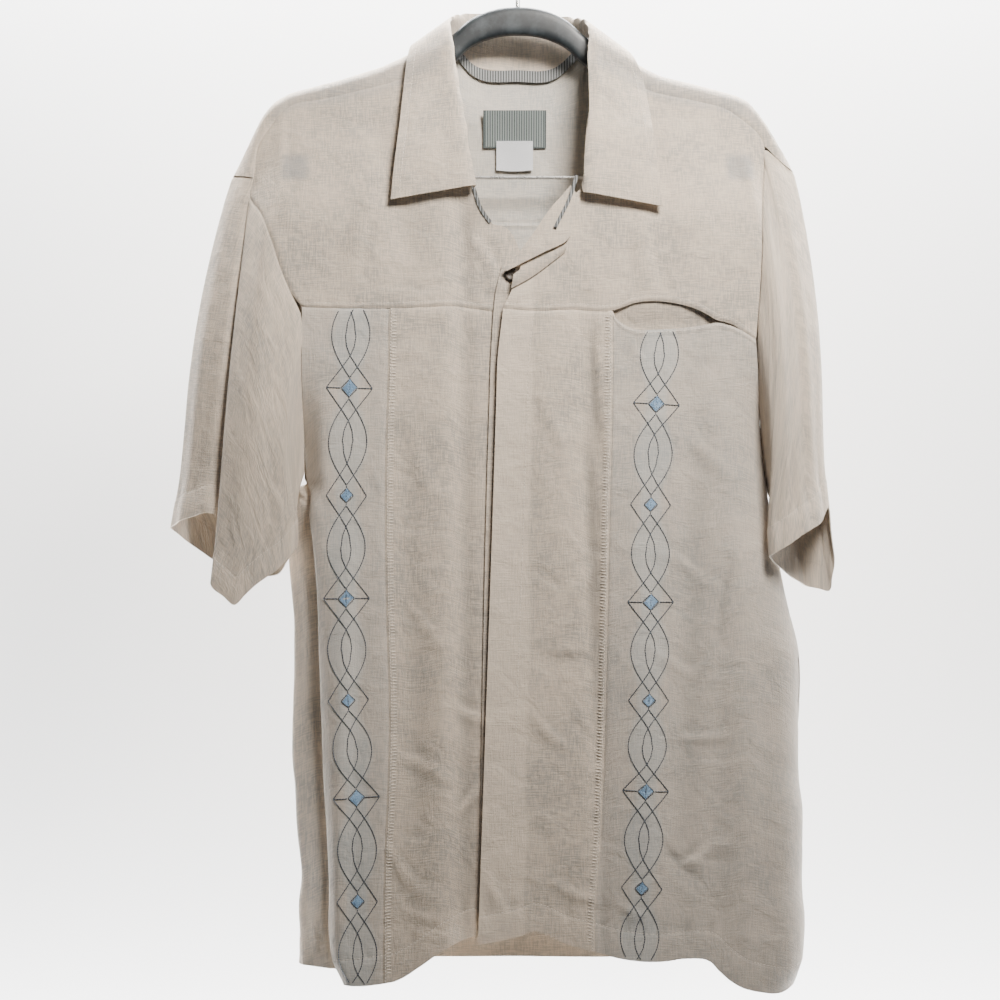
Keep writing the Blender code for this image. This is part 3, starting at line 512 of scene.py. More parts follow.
def painted_hanger_shade(points):
    """Painted shade where the hanger lies behind the thin cloth: faint over its arms, and darker over the
    feet of its posts.
    """
    reach = np.abs(points[..., 0])
    z = points[..., 2]
    arm = np.asarray(HANGER_ARM, float)
    top = ridge_height(points[..., 0]) - np.interp(-reach, arm[:, 0], arm[:, 1])
    low = top - np.interp(-reach, arm[:, 0], arm[:, 2])
    arms = smooth((top + 3 - z) / 6) * smooth((z - low + 3) / 7)
    arms = arms * smooth((reach - 62) / 12) * smooth((222 - reach) / 8)
    feet = smooth((15 - np.abs(reach - BAR_END)) / 7) * smooth((z + 236) / 6) * smooth((-206 - z) / 8)
    return np.clip(0.5 * arms + 0.9 * feet, 0, 1)


def hollows_of(grid, closed, reach=3):
    """How far each point lies in a crease or seam, from 0 to 1, against its neighbours. The cloth uses it to
    paint shade into its creases and seams.
    """
    total = np.zeros_like(grid)
    for axis in (0, 1):
        for shift in range(-reach, reach + 1):
            places = np.arange(grid.shape[axis]) + shift
            wraps = closed and axis == 1
            places = places % grid.shape[axis] if wraps else np.clip(places, 0, grid.shape[axis] - 1)
            total += np.take(grid, places, axis=axis)
    below = ((total / (4 * reach + 2) - grid) * outward_of(grid, closed)).sum(axis=-1)
    inner = np.ones(grid.shape[:2])
    for axis in (0, 1):
        if not (closed and axis == 1):
            from_edge = np.minimum(edge_distance(grid, axis, False), edge_distance(grid, axis, True))
            inner *= smooth((from_edge + 2) / 5)
    return np.clip(below / 0.7 * inner, 0, 1)


def add_cloth(name, grid, look, thickness=CLOTH, closed=False):
    """A wall of cloth through a grid, with a flat map and masks for painted shade: in its hollows, and where
    the hanger lies behind it.
    """
    rows, columns = grid.shape[:2]
    normal = normals_of(grid, closed)
    points = np.concatenate(
        [(grid + normal * thickness / 2).reshape(-1, 3), (grid - normal * thickness / 2).reshape(-1, 3)]
    )
    spans = columns if closed else columns - 1
    i, j = np.meshgrid(np.arange(rows - 1), np.arange(spans), indexing="ij")
    a = (i * columns + j).ravel()
    b = (i * columns + (j + 1) % columns).ravel()
    upper = np.stack([a, a + columns, b + columns, b], axis=1)
    below = rows * columns
    lower = np.stack([a, b, b + columns, a + columns], axis=1) + below
    j = np.arange(spans)
    last = (rows - 1) * columns
    rim = [np.stack([j, (j + 1) % columns], axis=1), np.stack([last + (j + 1) % columns, last + j], axis=1)]
    if not closed:
        i = np.arange(rows - 1)
        rim.append(np.stack([(i + 1) * columns, i * columns], axis=1))
        rim.append(np.stack([i * columns + columns - 1, (i + 2) * columns - 1], axis=1))
    rim = np.concatenate(rim)
    faces = np.concatenate([upper, lower, np.concatenate([rim, rim[:, ::-1] + below], axis=1)])
    made = add_mesh(name, points, faces.tolist(), look, sharp=70)
    mesh = made.data
    if closed:
        flat = np.stack([edge_distance(grid, 1, False), edge_distance(grid, 0, False)], axis=-1)
    else:
        flat = np.stack([grid[..., 0], grid[..., 2] + grid[..., 1]], axis=-1)
    flat = flat.reshape(-1, 2) * MM
    flat = np.concatenate([flat, flat])
    corners = np.empty(len(mesh.loops), np.int32)
    mesh.loops.foreach_get("vertex_index", corners)
    mesh.uv_layers.new(name="cloth").data.foreach_set("uv", flat[corners].ravel())
    for mask, values in (("painted_hanger_shade", painted_hanger_shade(grid)), ("hollow_shade", hollows_of(grid, closed))):
        mesh.attributes.new(mask, "FLOAT", "POINT").data.foreach_set("value", np.tile(values.ravel(), 2))
    return made


def linen_weave():
    """Shader group: plain weave of uneven threads with slubs, thin patches and a soft rumple."""
    made = bpy.data.node_groups.new("linen weave", "ShaderNodeTree")
    for name, kind, value in (
        ("Place", "NodeSocketVector", None), ("Pale thread", "NodeSocketColor", (0.8, 0.74, 0.66, 1)),
        ("Thin patch", "NodeSocketColor", (0.6, 0.58, 0.53, 1)), ("Thread pitch", "NodeSocketFloat", 0.0006),
        ("Rumple", "NodeSocketFloat", 1.0),
    ):
        socket = made.interface.new_socket(name, in_out="INPUT", socket_type=kind)
        if value is not None:
            socket.default_value = value
    made.interface.new_socket("Colour", in_out="OUTPUT", socket_type="NodeSocketColor")
    made.interface.new_socket("Height", in_out="OUTPUT", socket_type="NodeSocketFloat")
    start = made.nodes.new("NodeGroupInput").outputs
    place = start["Place"]

    def stretched(scale, detail):
        moved = add_node(made, "ShaderNodeVectorMath", {0: place, 1: scale}, operation="MULTIPLY")
        return add_node(
            made, "ShaderNodeTexNoise", {"Vector": moved.outputs[0], "Scale": 1.0, "Detail": detail}
        ).outputs[0]

    def maths(operation, *values):
        return add_node(made, "ShaderNodeMath", dict(enumerate(values)), operation=operation).outputs[0]

    warp = stretched((760, 80, 1), 2)
    weft = stretched((90, 820, 1), 2)
    fine = add_node(made, "ShaderNodeTexNoise", {"Vector": place, "Scale": 900, "Detail": 1}).outputs[0]
    thin = add_node(
        made, "ShaderNodeTexNoise", {"Vector": place, "Scale": 17, "Detail": 6, "Roughness": 0.62}
    ).outputs[0]
    rumpled = add_node(
        made, "ShaderNodeTexNoise", {"Vector": place, "Scale": 38, "Detail": 3, "Distortion": 0.6}
    ).outputs[0]
    split = add_node(made, "ShaderNodeSeparateXYZ", {0: place}).outputs
    turn = maths("DIVIDE", 2 * math.pi, start["Thread pitch"])
    wander = maths("MULTIPLY", fine, 3.0)
    across_warp = maths("SINE", maths("MULTIPLY_ADD", split[0], turn, wander))
    across_weft = maths("SINE", maths("MULTIPLY_ADD", split[1], turn, wander))
    weave = maths("ADD", maths("ABSOLUTE", across_warp), maths("ABSOLUTE", across_weft))
    slubs = maths("ADD", warp, weft)
    streak = add_node(
        made, "ShaderNodeMapRange", {"Value": slubs, "From Min": 0.88, "From Max": 1.12}
    ).outputs[0]
    worn = add_node(
        made, "ShaderNodeMapRange", {"Value": thin, "From Min": 0.38, "From Max": 0.66}
    ).outputs[0]
    depth = maths(
        "MULTIPLY_ADD", worn, 0.35, maths("MULTIPLY", streak, maths("MULTIPLY_ADD", worn, 0.5, 0.35))
    )
    colour = mixed(made, depth, start["Pale thread"], start["Thin patch"])
    threads = maths("MULTIPLY", weave, 0.00005)
    threads = maths("MULTIPLY_ADD", slubs, 0.00034, threads)
    height = maths("MULTIPLY_ADD", maths("MULTIPLY", rumpled, start["Rumple"]), 0.0022, threads)
    end = made.nodes.new("NodeGroupOutput")
    made.links.new(colour, end.inputs["Colour"])
    made.links.new(height, end.inputs["Height"])
    return made


def linen(name, weave, pale, thin):
    """Matt natural linen. The hanger shows through it a little as painted shade, and its creases and seams
    carry painted shade.
    """
    made, tree, shader = new_material(name, pale[:3], 0.92)
    shader.inputs["Sheen Weight"].default_value = 0.12
    shader.inputs["Sheen Roughness"].default_value = 0.6
    shader.inputs["Specular IOR Level"].default_value = 0.2
    place = add_node(tree, "ShaderNodeUVMap", uv_map="cloth").outputs[0]
    inputs = {"Pale thread": pale, "Thin patch": thin, "Thread pitch": THREAD_PITCH, "Rumple": 1.0}
    group = tree.nodes.new("ShaderNodeGroup")
    group.node_tree = weave
    tree.links.new(place, group.inputs["Place"])
    for key, value in inputs.items():
        group.inputs[key].default_value = value
    # Painted shade: the linen is darkened toward a blue-grey where the hanger lies behind the thin cloth.
    behind = add_node(tree, "ShaderNodeAttribute", attribute_name="painted_hanger_shade").outputs["Fac"]
    hanger_shade_share = add_node(tree, "ShaderNodeMath", {0: behind, 1: 0.55}, operation="MULTIPLY").outputs[0]
    colour = mixed(tree, hanger_shade_share, group.outputs["Colour"], (0.22, 0.25, 0.28, 1))
    # Tints: the paler double linen under the fly cover, and a cool grey that is both the thread tone of the
    # embroidery ground and painted shade on the inside of the back seen through the neck.
    for mark, amount, tint in (
        ("doubled", 0.55, (0.86, 0.73, 0.59, 1)), ("thread_tone_and_shade", 0.36, (0.5, 0.56, 0.57, 1))
    ):
        share = add_node(tree, "ShaderNodeAttribute", attribute_name=mark).outputs["Fac"]
        share = add_node(tree, "ShaderNodeMath", {0: share, 1: amount}, operation="MULTIPLY").outputs[0]
        colour = mixed(tree, share, colour, tint)
    # Painted shade: creases and seams are darkened toward a dark copy of the thin-patch colour.
    hollow_shade = add_node(tree, "ShaderNodeAttribute", attribute_name="hollow_shade").outputs["Fac"]
    hollow_darkening = add_node(tree, "ShaderNodeMath", {0: hollow_shade, 1: 0.6}, operation="MULTIPLY").outputs[0]
    colour = mixed(tree, hollow_darkening, colour, tuple(0.42 * value for value in thin[:3]) + (1,))
    bump = add_node(
        tree, "ShaderNodeBump", {"Strength": 1.0, "Distance": 1.0, "Height": group.outputs["Height"]}
    )
    tree.links.new(colour, shader.inputs["Base Color"])
    tree.links.new(bump.outputs[0], shader.inputs["Normal"])
    return made


def mark_cloth(piece, name, share_at, inside_only=False):
    """Writes a share from 0 to 1 on each point of a piece, found from its x and z in millimetres."""
    mesh = piece.data
    spots = np.empty(len(mesh.vertices) * 3)
    mesh.vertices.foreach_get("co", spots)
    spots = spots.reshape(-1, 3) / MM
    share = share_at(spots[:, 0], spots[:, 2])
    if inside_only:
        normals = np.empty(len(mesh.vertices) * 3)
        mesh.vertices.foreach_get("normal", normals)
        share = share * (normals[1::3] < 0)
    layer = mesh.attributes.new(name, "FLOAT", "POINT")
    layer.data.foreach_set("value", share.astype(np.float32))


def finish_cloth(piece, nodes):
    """Lets a cloth piece stand for its CAD nodes."""
    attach(piece, "root")
    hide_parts(*nodes)


THREAD_PITCH = 0.0006
weave = linen_weave()
PALE = (0.72, 0.605, 0.485, 1)
THIN = (0.44, 0.395, 0.34, 1)
body_linen = linen("body linen", weave, PALE, THIN)


def back_section(z):
    """A cut across the back at one height, from the right side seam round to the left one: x and y."""
    armhole = np.asarray(ARMHOLE_BACK_RIGHT, float)
    edge_x = np.interp(z, armhole[:, 2], armhole[:, 0])
    edge_y = np.interp(z, armhole[:, 2], armhole[:, 1])
    fold = across(FOLD_EDGE_RIGHT, z)
    if z < ARMHOLE_BACK_RIGHT[0][2]:
        edge_x = fold - 0.6
        edge_y = front_y(fold, z) + 0.9
    plain = [
        (edge_x, edge_y), (edge_x + 4, max(edge_y + 3, back_y(edge_x, z) - 12)),
        (edge_x + 12, back_y(edge_x, z) - 3)
    ]
    plain.append((edge_x + 45, back_y(edge_x + 45, z)))
    strip = across(STRIP_RIGHT, z)
    turned = fold_share(z)
    edge = front_y(fold, z) + 1
    folded = [
        (fold + 15.5 * turned, edge + 8.6 * turned), (fold + 18 * turned, edge + 10.6 * turned),
        (fold + 14 * turned, edge + 12.6 * turned), (fold + 4 * turned - 1, edge + 13.6 * turned + 0.5),
        (fold - 8, edge + 12.6 * turned + 1.5), (strip + 6, 0),
        (strip, 5), (strip + 4, 12), (strip + 16, back_y(strip, z) - 3),
        (strip + 45, back_y(strip + 45, z)),
    ]
    share = smooth((ARMHOLE_BACK_RIGHT[0][2] - z) / 10)
    places = np.linspace(0, 1, 13)
    wrap = (1 - share) * sample_at(plain, places) + share * sample_at(folded, places)
    if z > SIDE_LEFT[2][1]:
        rows = np.asarray(ARMHOLE_BACK_LEFT, float)
        end = np.array((np.interp(z, rows[:, 2], rows[:, 0]), np.interp(z, rows[:, 2], rows[:, 1])))
    else:
        end = np.array((across(SIDE_LEFT, z), 0.4))
    depth = back_y(end[0] - SIDE_ROUNDING, z)
    turn = []
    for share in np.linspace(0, 1, 6):
        angle = share * math.pi / 2
        turn.append(
            (end[0] - SIDE_ROUNDING * (1 - math.sin(angle)), end[1] + (depth - end[1]) * math.cos(angle))
        )
    middle_x = np.linspace(wrap[-1][0], turn[0][0], 11)[1:-1]
    middle = [(x, back_y(x, z)) for x in middle_x]
    return np.array(list(wrap) + middle + turn)


def add_back():
    """The back panel, cut at close heights."""
    rows = []
    for z in np.linspace(BACK_YOKE_SEAM, -930, 200):
        section = curved(back_section(z), 6)
        rows.append(np.column_stack([section, np.full(len(section), z)]))
    grid = respaced(np.stack(rows), 0, "topstitched", "hem")
    outward = outward_of(grid)
    grid = sewn(grid, outward, top="seam", bottom="hem")
    piece = add_cloth("back_panel", grid, body_linen)
    finish_cloth(piece, ["back_body"])
    return grid, outward


back_grid, back_outward = add_back()

# The yoke: a double layer of linen over both shoulders, from the front seams over the hanger's arms to a
# topstitched seam across the back. The collar is set into its neck edge.
SHOULDER_SEAM_RIGHT = (
    (-68, -120), (-104, -141), (-139, -151), (-174, -159), (-202, -165), (-214, -176),
    (-222, -187), (-228, -196), (-234, -230),
)
SHOULDER_SEAM_LEFT = (
    (65, -120), (116, -151), (160, -161), (185, -168), (201, -179), (215, -192), (219, -201),
)
SHOULDER_END_RIGHT = ((-254, 0, -227), (-252, -6, -227), (-245, -11, -228), (-234, -14, -230))
SHOULDER_END_LEFT = ((246, 0, -225), (244, -6, -223), (234, -10, -216), (219, -10, -201))

# Collar stations from the right front end round the back: seam, roll line and edge, each x, y, z
COLLAR = (
    (-39, -30, -243, -37, -36, -241, -111, -34, -253),
    (-46, -27, -212, -42, -33, -211, -108, -31, -221),
    (-54, -22, -180, -47, -28, -177, -104, -24, -186),
    (-62, -16, -151, -53, -22, -144, -101, -18, -154),
    (-68, -11, -120, -58, -17, -108, -98, -14, -126),
    (-72, -8.5, -110, -60, -12, -95, -96, -11, -115),
    (-73, 0, -103, -61, -3, -84, -93, -2, -107),
    (-67, 9, -102, -55, 10, -79, -87, 13, -107),
    (-60, 14, -107, -49, 17, -76, -76, 24, -111),
    (-42, 22, -124, -34, 25, -72, -52, 35, -118),
    (0, 26, -128, 0, 29, -70, 0, 40, -126),
    (39, 22, -125, 30, 26, -73, 52, 35, -118),
    (59, 14, -108, 44, 17, -78, 74, 24, -114),
    (67, 9, -102, 51, 10, -82, 87, 13, -113),
    (73, 0, -104, 60, -3, -87, 96, -2, -113),
    (71, -8.5, -111, 63, -12, -98, 104, -13, -126),
    (65, -11, -120, 62, -18, -122, 110, -15, -142),
    (67, -17, -155, 63, -24, -158, 115, -20, -168),
    (63, -23, -190, 60, -30, -195, 119, -27, -196),
    (60, -27, -221, 58, -34, -225, 123, -32, -228),
    (56, -30, -241, 57, -36, -247, 126, -34, -259),
)
YOKE_DROPS = (0, -9, -5, -2, 0, 2, 5, 9, 22, 52, 90)
NECK_START = 4
NECK_END = 16
neck_stations = sample_at(curved(COLLAR[NECK_START:NECK_END + 1], 8), np.linspace(0, 1, 61))


def sample(points, count):
    return sample_at(curved(points, 8), np.linspace(0, 1, count))


def add_yoke():
    right = [(x, front_y(x, z), z) for x, z in sample(SHOULDER_SEAM_RIGHT[::-1], 45)]
    left = [(x, front_y(x, z), z) for x, z in sample(SHOULDER_SEAM_LEFT, 45)]
    start = np.array(right + list(neck_stations[1:-1, :3]) + left, float)
    bottom_x = np.linspace(ARMHOLE_BACK_RIGHT[-1][0], ARMHOLE_BACK_LEFT[-1][0], len(start))
    drop_start = np.where(start[:, 1] < 0, -1, 1) * np.maximum(ridge_height(start[:, 0]) - start[:, 2], 0.5)
    drop_end = ridge_height(bottom_x) - BACK_YOKE_SEAM
    drops = []
    for number, target in enumerate(YOKE_DROPS):
        latest = drop_end - 7 * (len(YOKE_DROPS) - number)
        drops.append(np.minimum(np.maximum(target, drop_start + 2.2 * number), latest))
    drops = curved(np.array([drop_start] + drops[1:] + [drop_end]), 5, even=True)
    rows = []
    for drop in drops:
        share = (drop - drop_start) / (drop_end - drop_start)
        x = start[:, 0] + (bottom_x - start[:, 0]) * share
        z = ridge_height(x) - np.abs(drop)
        y = np.where(drop < 0, front_y(x, z), back_y(x, z))
        rows.append(np.stack([x, y, z], axis=1))
    grid = np.stack(rows)
    fade = 1 - smooth(np.linalg.norm(grid - grid[:1], axis=2) / 60)
    grid += (start - grid[0])[None] * fade[..., None]
    ridge_row = 5 * YOKE_DROPS.index(0, 1)
    for column, end, back in (
        (0, SHOULDER_END_RIGHT, ARMHOLE_BACK_RIGHT), (-1, SHOULDER_END_LEFT, ARMHOLE_BACK_LEFT)
    ):
        over = sample(end[::-1], ridge_row + 1)
        down = sample((end[0], (end[0][0], 9, end[0][2] - 12), back[-1]), len(grid) - ridge_row)
        edge = np.concatenate([over, down[1:]])
        difference = edge - grid[:, column]
        for number, share in enumerate(1 - smooth(np.arange(8) / 7)):
            grid[:, number if column == 0 else -1 - number] += difference * share
    grid = respaced(grid, 0, "plain", "topstitched")
    outward = outward_of(grid)
    grid = sewn(grid, outward, top="seam", bottom="topstitched")
    piece = add_cloth("shoulder_yoke", grid, body_linen, thickness=1.1)
    finish_cloth(piece, ["back_yoke"])
    return grid, outward


yoke_grid, yoke_outward = add_yoke()

# The right front: a chest yoke, a plain centre panel and a side panel that carries a band of embroidery, all
# joined by flat seams. Its side is folded under, and its free edge lies behind the layers of the fly.
UNDER_OFFSET = 7.2
ARMHOLE_RIGHT = (
    (-234, -230), (-238, -244), (-227, -261), (-222, -271), (-211, -300), (-200, -331), (-189, -346),
)
CHEST_SEAM_RIGHT = (
    (-189, -346), (-152, -347), (-113, -347), (-82, -346), (-51, -345), (-21, -349), (13, -349)
)
NECKLINE_RIGHT = (
    (-68, -120), (-62, -151), (-54, -180), (-46, -212), (-39, -243), (-30, -259), (-23, -272),
    (-11, -275), (-4, -283), (1, -295), (8, -318), (13, -349),
)
PANEL_SEAM_RIGHT = (
    (-113, -347), (-114, -408), (-116, -472), (-115, -626), (-113, -689), (-118, -878), (-118, -938)
)
HEM_RIGHT = (
    (-152, -940), (-134, -940), (-118, -938), (-108, -936), (-86, -923), (-68, -910), (-42, -899), (-3, -897),
)
band_linen = linen("band linen", weave, (0.63, 0.55, 0.465, 1), (0.45, 0.42, 0.375, 1))


def under_y(x, z):
    """Depth of the right front, which drops behind the fly layers near the middle."""
    under = smooth((np.asarray(x, float) + 66) / 26)
    return front_y(x, z) + UNDER_OFFSET * under * smooth((-225 - np.asarray(z)) / 50)


def patch(top, bottom, left, right):
    """Fills four sides with a grid. Opposite sides have as many points as each other."""
    rows = len(left)
    columns = len(top)
    u = np.linspace(0, 1, columns)[None, :, None]
    v = np.linspace(0, 1, rows)[:, None, None]
    corners = (
        (1 - u) * (1 - v) * top[0] + u * (1 - v) * top[-1] + (1 - u) * v * bottom[0] + u * v * bottom[-1]
    )
    return (1 - v) * top[None] + v * bottom[None] + (1 - u) * left[:, None] + u * right[:, None] - corners


def drape(flat, depth):
    """Turns a grid of x and z into points, with the depth that a function gives."""
    x = flat[..., 0]
    z = flat[..., 1]
    return np.stack([x, depth(x, z), z], axis=-1)


def add_panel(name, flat, depth, look, edges, node):
    """A panel from its flat outline, draped to a depth, with sewn edges: top, bottom, first and last."""
    top, bottom, first, last = edges
    flat = respaced(flat, 0, top or "plain", bottom or "plain")
    flat = respaced(flat, 1, first or "plain", last or "plain")
    grid = drape(flat, depth)
    outward = outward_of(grid)
    grid = sewn(grid, outward, top, bottom, first, last)
    piece = add_cloth(name, grid, look)
    finish_cloth(piece, [node])
    return grid, outward


def add_right_front():
    chest = curved(CHEST_SEAM_RIGHT, 8)
    split = 16
    yoke = patch(
        sample(SHOULDER_SEAM_RIGHT[::-1], 90), sample_at(chest, np.linspace(0, 1, 90)),
        sample(ARMHOLE_RIGHT, 90), sample(NECKLINE_RIGHT, 90),
    )
    yoke = add_panel(
        "right_chest_yoke", yoke, under_y, body_linen, ("seam", "topstitched", "seam", "plain"),
        "right_front_yoke",
    )
    free_edge = sample_at((CHEST_SEAM_RIGHT[-1], HEM_RIGHT[-1]), np.linspace(0, 1, 160))
    centre = patch(
        sample_at(chest[split:], np.linspace(0, 1, 50)),
        sample(HEM_RIGHT[2:], 50), sample(PANEL_SEAM_RIGHT, 160), free_edge,
    )
    centre = add_panel(
        "right_centre_panel", centre, under_y, body_linen, ("seam", "hem", "topstitched", "plain"),
        "right_front_centre",
    )
    side = patch(
        sample_at(chest[:split + 1], np.linspace(0, 1, 5)),
        sample(HEM_RIGHT[:3], 5), sample(FOLD_EDGE_RIGHT, 160),
        sample(PANEL_SEAM_RIGHT, 160),
    )
    side = respaced(side, 0, "seam", "hem")
    coarse = drape(side, front_y)
    edge = coarse[:, 0]
    share = fold_share(edge[:, 2])[:, None]
    inward = (coarse[:, 1] - edge) / np.linalg.norm(coarse[:, 1] - edge, axis=1, keepdims=True)
    turned = []
    for number, place in enumerate(((13, 8.2, 0), (6, 7.2, 0), (1, 4, 0))):
        turned.append(edge + (1 - share) * inward * 2.5 * number + share * np.array(place))
    turned.append(edge + (1 - share) * inward * 7.5)
    returned = 5 * len(turned)
    grid = curved(np.concatenate([np.stack(turned, axis=1), coarse[:, 1:]], axis=1), 5, axis=1)
    seen = np.arange(grid.shape[1])[None, :] >= returned - 5 * share
    grid[..., 1] = np.where(seen, front_y(grid[..., 0], grid[..., 2]), grid[..., 1])
    outward = outward_of(grid)
    grid = sewn(grid, outward, "seam", "hem", None, "seam")
    piece = add_cloth("right_side_panel", grid, band_linen)
    finish_cloth(piece, ["right_front_side"])
    return yoke, centre, (grid, outward)


right_yoke, right_centre, right_side = add_right_front()

# The left front: the same three panels of linen, lapped over the right front. Its centre panel carries the
# fly cover, and the chest seam of its side panel is left open as a slanted pocket mouth.
ARMHOLE_LEFT = ((219, -201), (218, -220), (216, -241), (214, -279), (213, -304), (211, -339), (208, -375))
CHEST_SEAM_LEFT = (
    (-13, -347), (14, -349), (47, -348), (83, -349), (104, -342), (122, -341), (139, -343),
    (151, -346), (163, -351), (173, -357), (187, -361), (198, -368), (208, -375),
)
POCKET_EDGE = (
    (83, -354), (93, -362), (104, -366), (122, -366), (139, -365), (163, -362), (173, -360),
    (187, -363), (198, -368), (208, -375),
)
NECKLINE_LEFT = (
    (65, -120), (67, -155), (63, -190), (60, -221), (56, -241), (44, -252), (30, -270), (15, -290),
    (4, -303), (1, -316), (-5, -330), (-13, -347),
)
COVER_STITCH = ((13, -366), (6, -904))
COVER_EDGE = ((-13, -347), (-18, -394), (-19, -427), (-35, -904))
PANEL_SEAM_LEFT = (
    (83, -349), (83, -389), (82, -451), (80, -532), (74, -778), (72, -822), (68, -866), (67, -910)
)
HEM_LEFT = (
    (-35, -904), (-13, -900), (3, -896), (14, -892), (25, -895), (39, -902), (67, -910), (84, -915),
    (106, -918), (128, -918), (147, -916), (167, -918), (177, -928), (190, -938), (211, -945), (232, -948),
    (244, -944),
)


def add_left_front():
    chest = curved(CHEST_SEAM_LEFT, 8)
    split = 24
    yoke = patch(
        sample(SHOULDER_SEAM_LEFT, 90), sample_at(chest, np.linspace(0, 1, 90)), sample(NECKLINE_LEFT, 90),
        sample(ARMHOLE_LEFT, 90),
    )
    yoke = add_panel(
        "left_chest_yoke", yoke, front_y, body_linen, ("seam", "topstitched", "plain", "seam"),
        "left_front_yoke",
    )
    centre = patch(
        sample_at(chest[:split + 1], np.linspace(0, 1, 50)),
        sample(HEM_LEFT[:7], 50), sample(COVER_EDGE, 160),
        sample(PANEL_SEAM_LEFT, 160),
    )
    centre = add_panel(
        "left_centre_panel", centre, front_y, body_linen, ("seam", "hem", "plain", "topstitched"),
        "left_front_centre",
    )
    mouth = sample(POCKET_EDGE, 70)
    mouth[0] = PANEL_SEAM_LEFT[0]
    side = patch(mouth, sample(HEM_LEFT[6:], 70), sample(PANEL_SEAM_LEFT, 160), sample(SIDE_LEFT, 160))
    side = add_panel(
        "left_side_panel", side, front_y, band_linen, ("topstitched", "hem", "seam", "plain"),
        "left_front_side",
    )
    return yoke, centre, side


left_yoke, left_centre, left_side = add_left_front()


def painted_neck_shade(x, z):
    """The inside of the back where the open neck shows it, tinted as a painted cool shade, darker than the
    lit outside.
    """
    return smooth((z + 350) / 40) * smooth((75 - np.abs(x - 5)) / 12) * smooth((-96 - z) / 8)


def under_cover_stitch(x, z):
    """The fly cover as far as its stitch line, where the linen is double and so paler."""
    return smooth((across(COVER_STITCH, z) - x) / 1.2 + 0.5) * smooth((-300 - z) / 20)


# Painted shade: the inside of the back, where the open neck shows it, is tinted cool and dark.
for inside_piece in ("shoulder_yoke", "back_panel"):
    mark_cloth(bpy.data.objects[inside_piece], "thread_tone_and_shade", painted_neck_shade, True)
for doubled_piece in ("left_centre_panel", "left_chest_yoke"):
    mark_cloth(bpy.data.objects[doubled_piece], "doubled", under_cover_stitch)

# The fly: the layer with the buttonholes under the cover, the turned-out lapel facing above it, and the
# turned end of the cover between them. All are linen, held by the cover's stitching.
FLY_OFFSET = 5.0
FLY_WIDTH = 40.0
FLY_EDGE = ((-14, -309), (-19, -330), (-23, -373), (-25, -427), (-35, -898))
LAPEL_ROLL = ((46, -240), (40, -247), (30, -258), (11, -285), (-3, -303), (-12, -312))
LAPEL_OUTER = ((54, -252), (51, -265), (43, -288), (24, -298), (4, -308), (-10, -315))
BAND_TOP = ((-4, -318), (9, -309), (26, -300), (43, -291))
BAND_LOW = ((-6, -330), (12, -320), (27, -309), (41, -298))


def add_fly():
    edge = sample(FLY_EDGE, 160)
    other = sample(((18, -309),) + tuple((x + FLY_WIDTH, z) for x, z in FLY_EDGE[1:]), 160)
    ends = [sample_at((edge[k], other[k]), np.linspace(0, 1, 14)) for k in (0, -1)]
    flat = patch(ends[0], ends[1], edge, other)
    grid = drape(flat, lambda x, z: front_y(x, z) + FLY_OFFSET)
    layer = add_cloth("fly_layer", grid, body_linen)
    finish_cloth(layer, ["left_front_fly"])


def add_lapel():
    roll = sample(LAPEL_ROLL, 41)
    outer = sample(LAPEL_OUTER, 41)
    ends = [sample_at((roll[k], outer[k]), np.linspace(0, 1, 12)) for k in (0, -1)]
    grid = drape(patch(ends[0], ends[1], roll, outer), front_y)
    lift = np.linspace(0, 1, 12)[None, :] * np.sin(np.linspace(0.35, 2.9, 41))[:, None]
    grid[..., 1] -= 1.6 + 1.6 * lift
    facing = add_cloth("lapel_facing", grid, body_linen)
    finish_cloth(facing, ["left_facing"])
    top = sample(BAND_TOP, 30)
    low = sample(BAND_LOW, 30)
    ends = [sample_at((top[k], low[k]), np.linspace(0, 1, 9)) for k in (0, -1)]
    end_grid = drape(patch(top, low, ends[0], ends[1]), front_y)
    end_grid[..., 1] -= curved(np.array((3.0, 3.0, 1.6)), 4, even=True)[:, None]
    cover_end = add_cloth("fly_cover_end", end_grid, body_linen)
    finish_cloth(cover_end, ["left_fly_top"])


add_fly()
add_lapel()


# The pocket: a flat bag of the same linen behind the open part of the chest seam. It is sewn in with that
# seam and hangs free inside the front.
def add_pocket():
    top = sample(((84, -334), (176, -337)), 30)
    bottom = sample(((84, -470), (176, -476)), 30)
    ends = [sample_at((top[k], bottom[k]), np.linspace(0, 1, 42)) for k in (0, -1)]
    flat = patch(top, bottom, ends[0], ends[1])
    grid = drape(flat, lambda x, z: front_y(x, z) + 1.9 + 4.1 * smooth((-338 - z) / 24))
    bag = add_cloth("pocket_bag_cloth", grid, body_linen)
    finish_cloth(bag, ["pocket_bag"])


add_pocket()

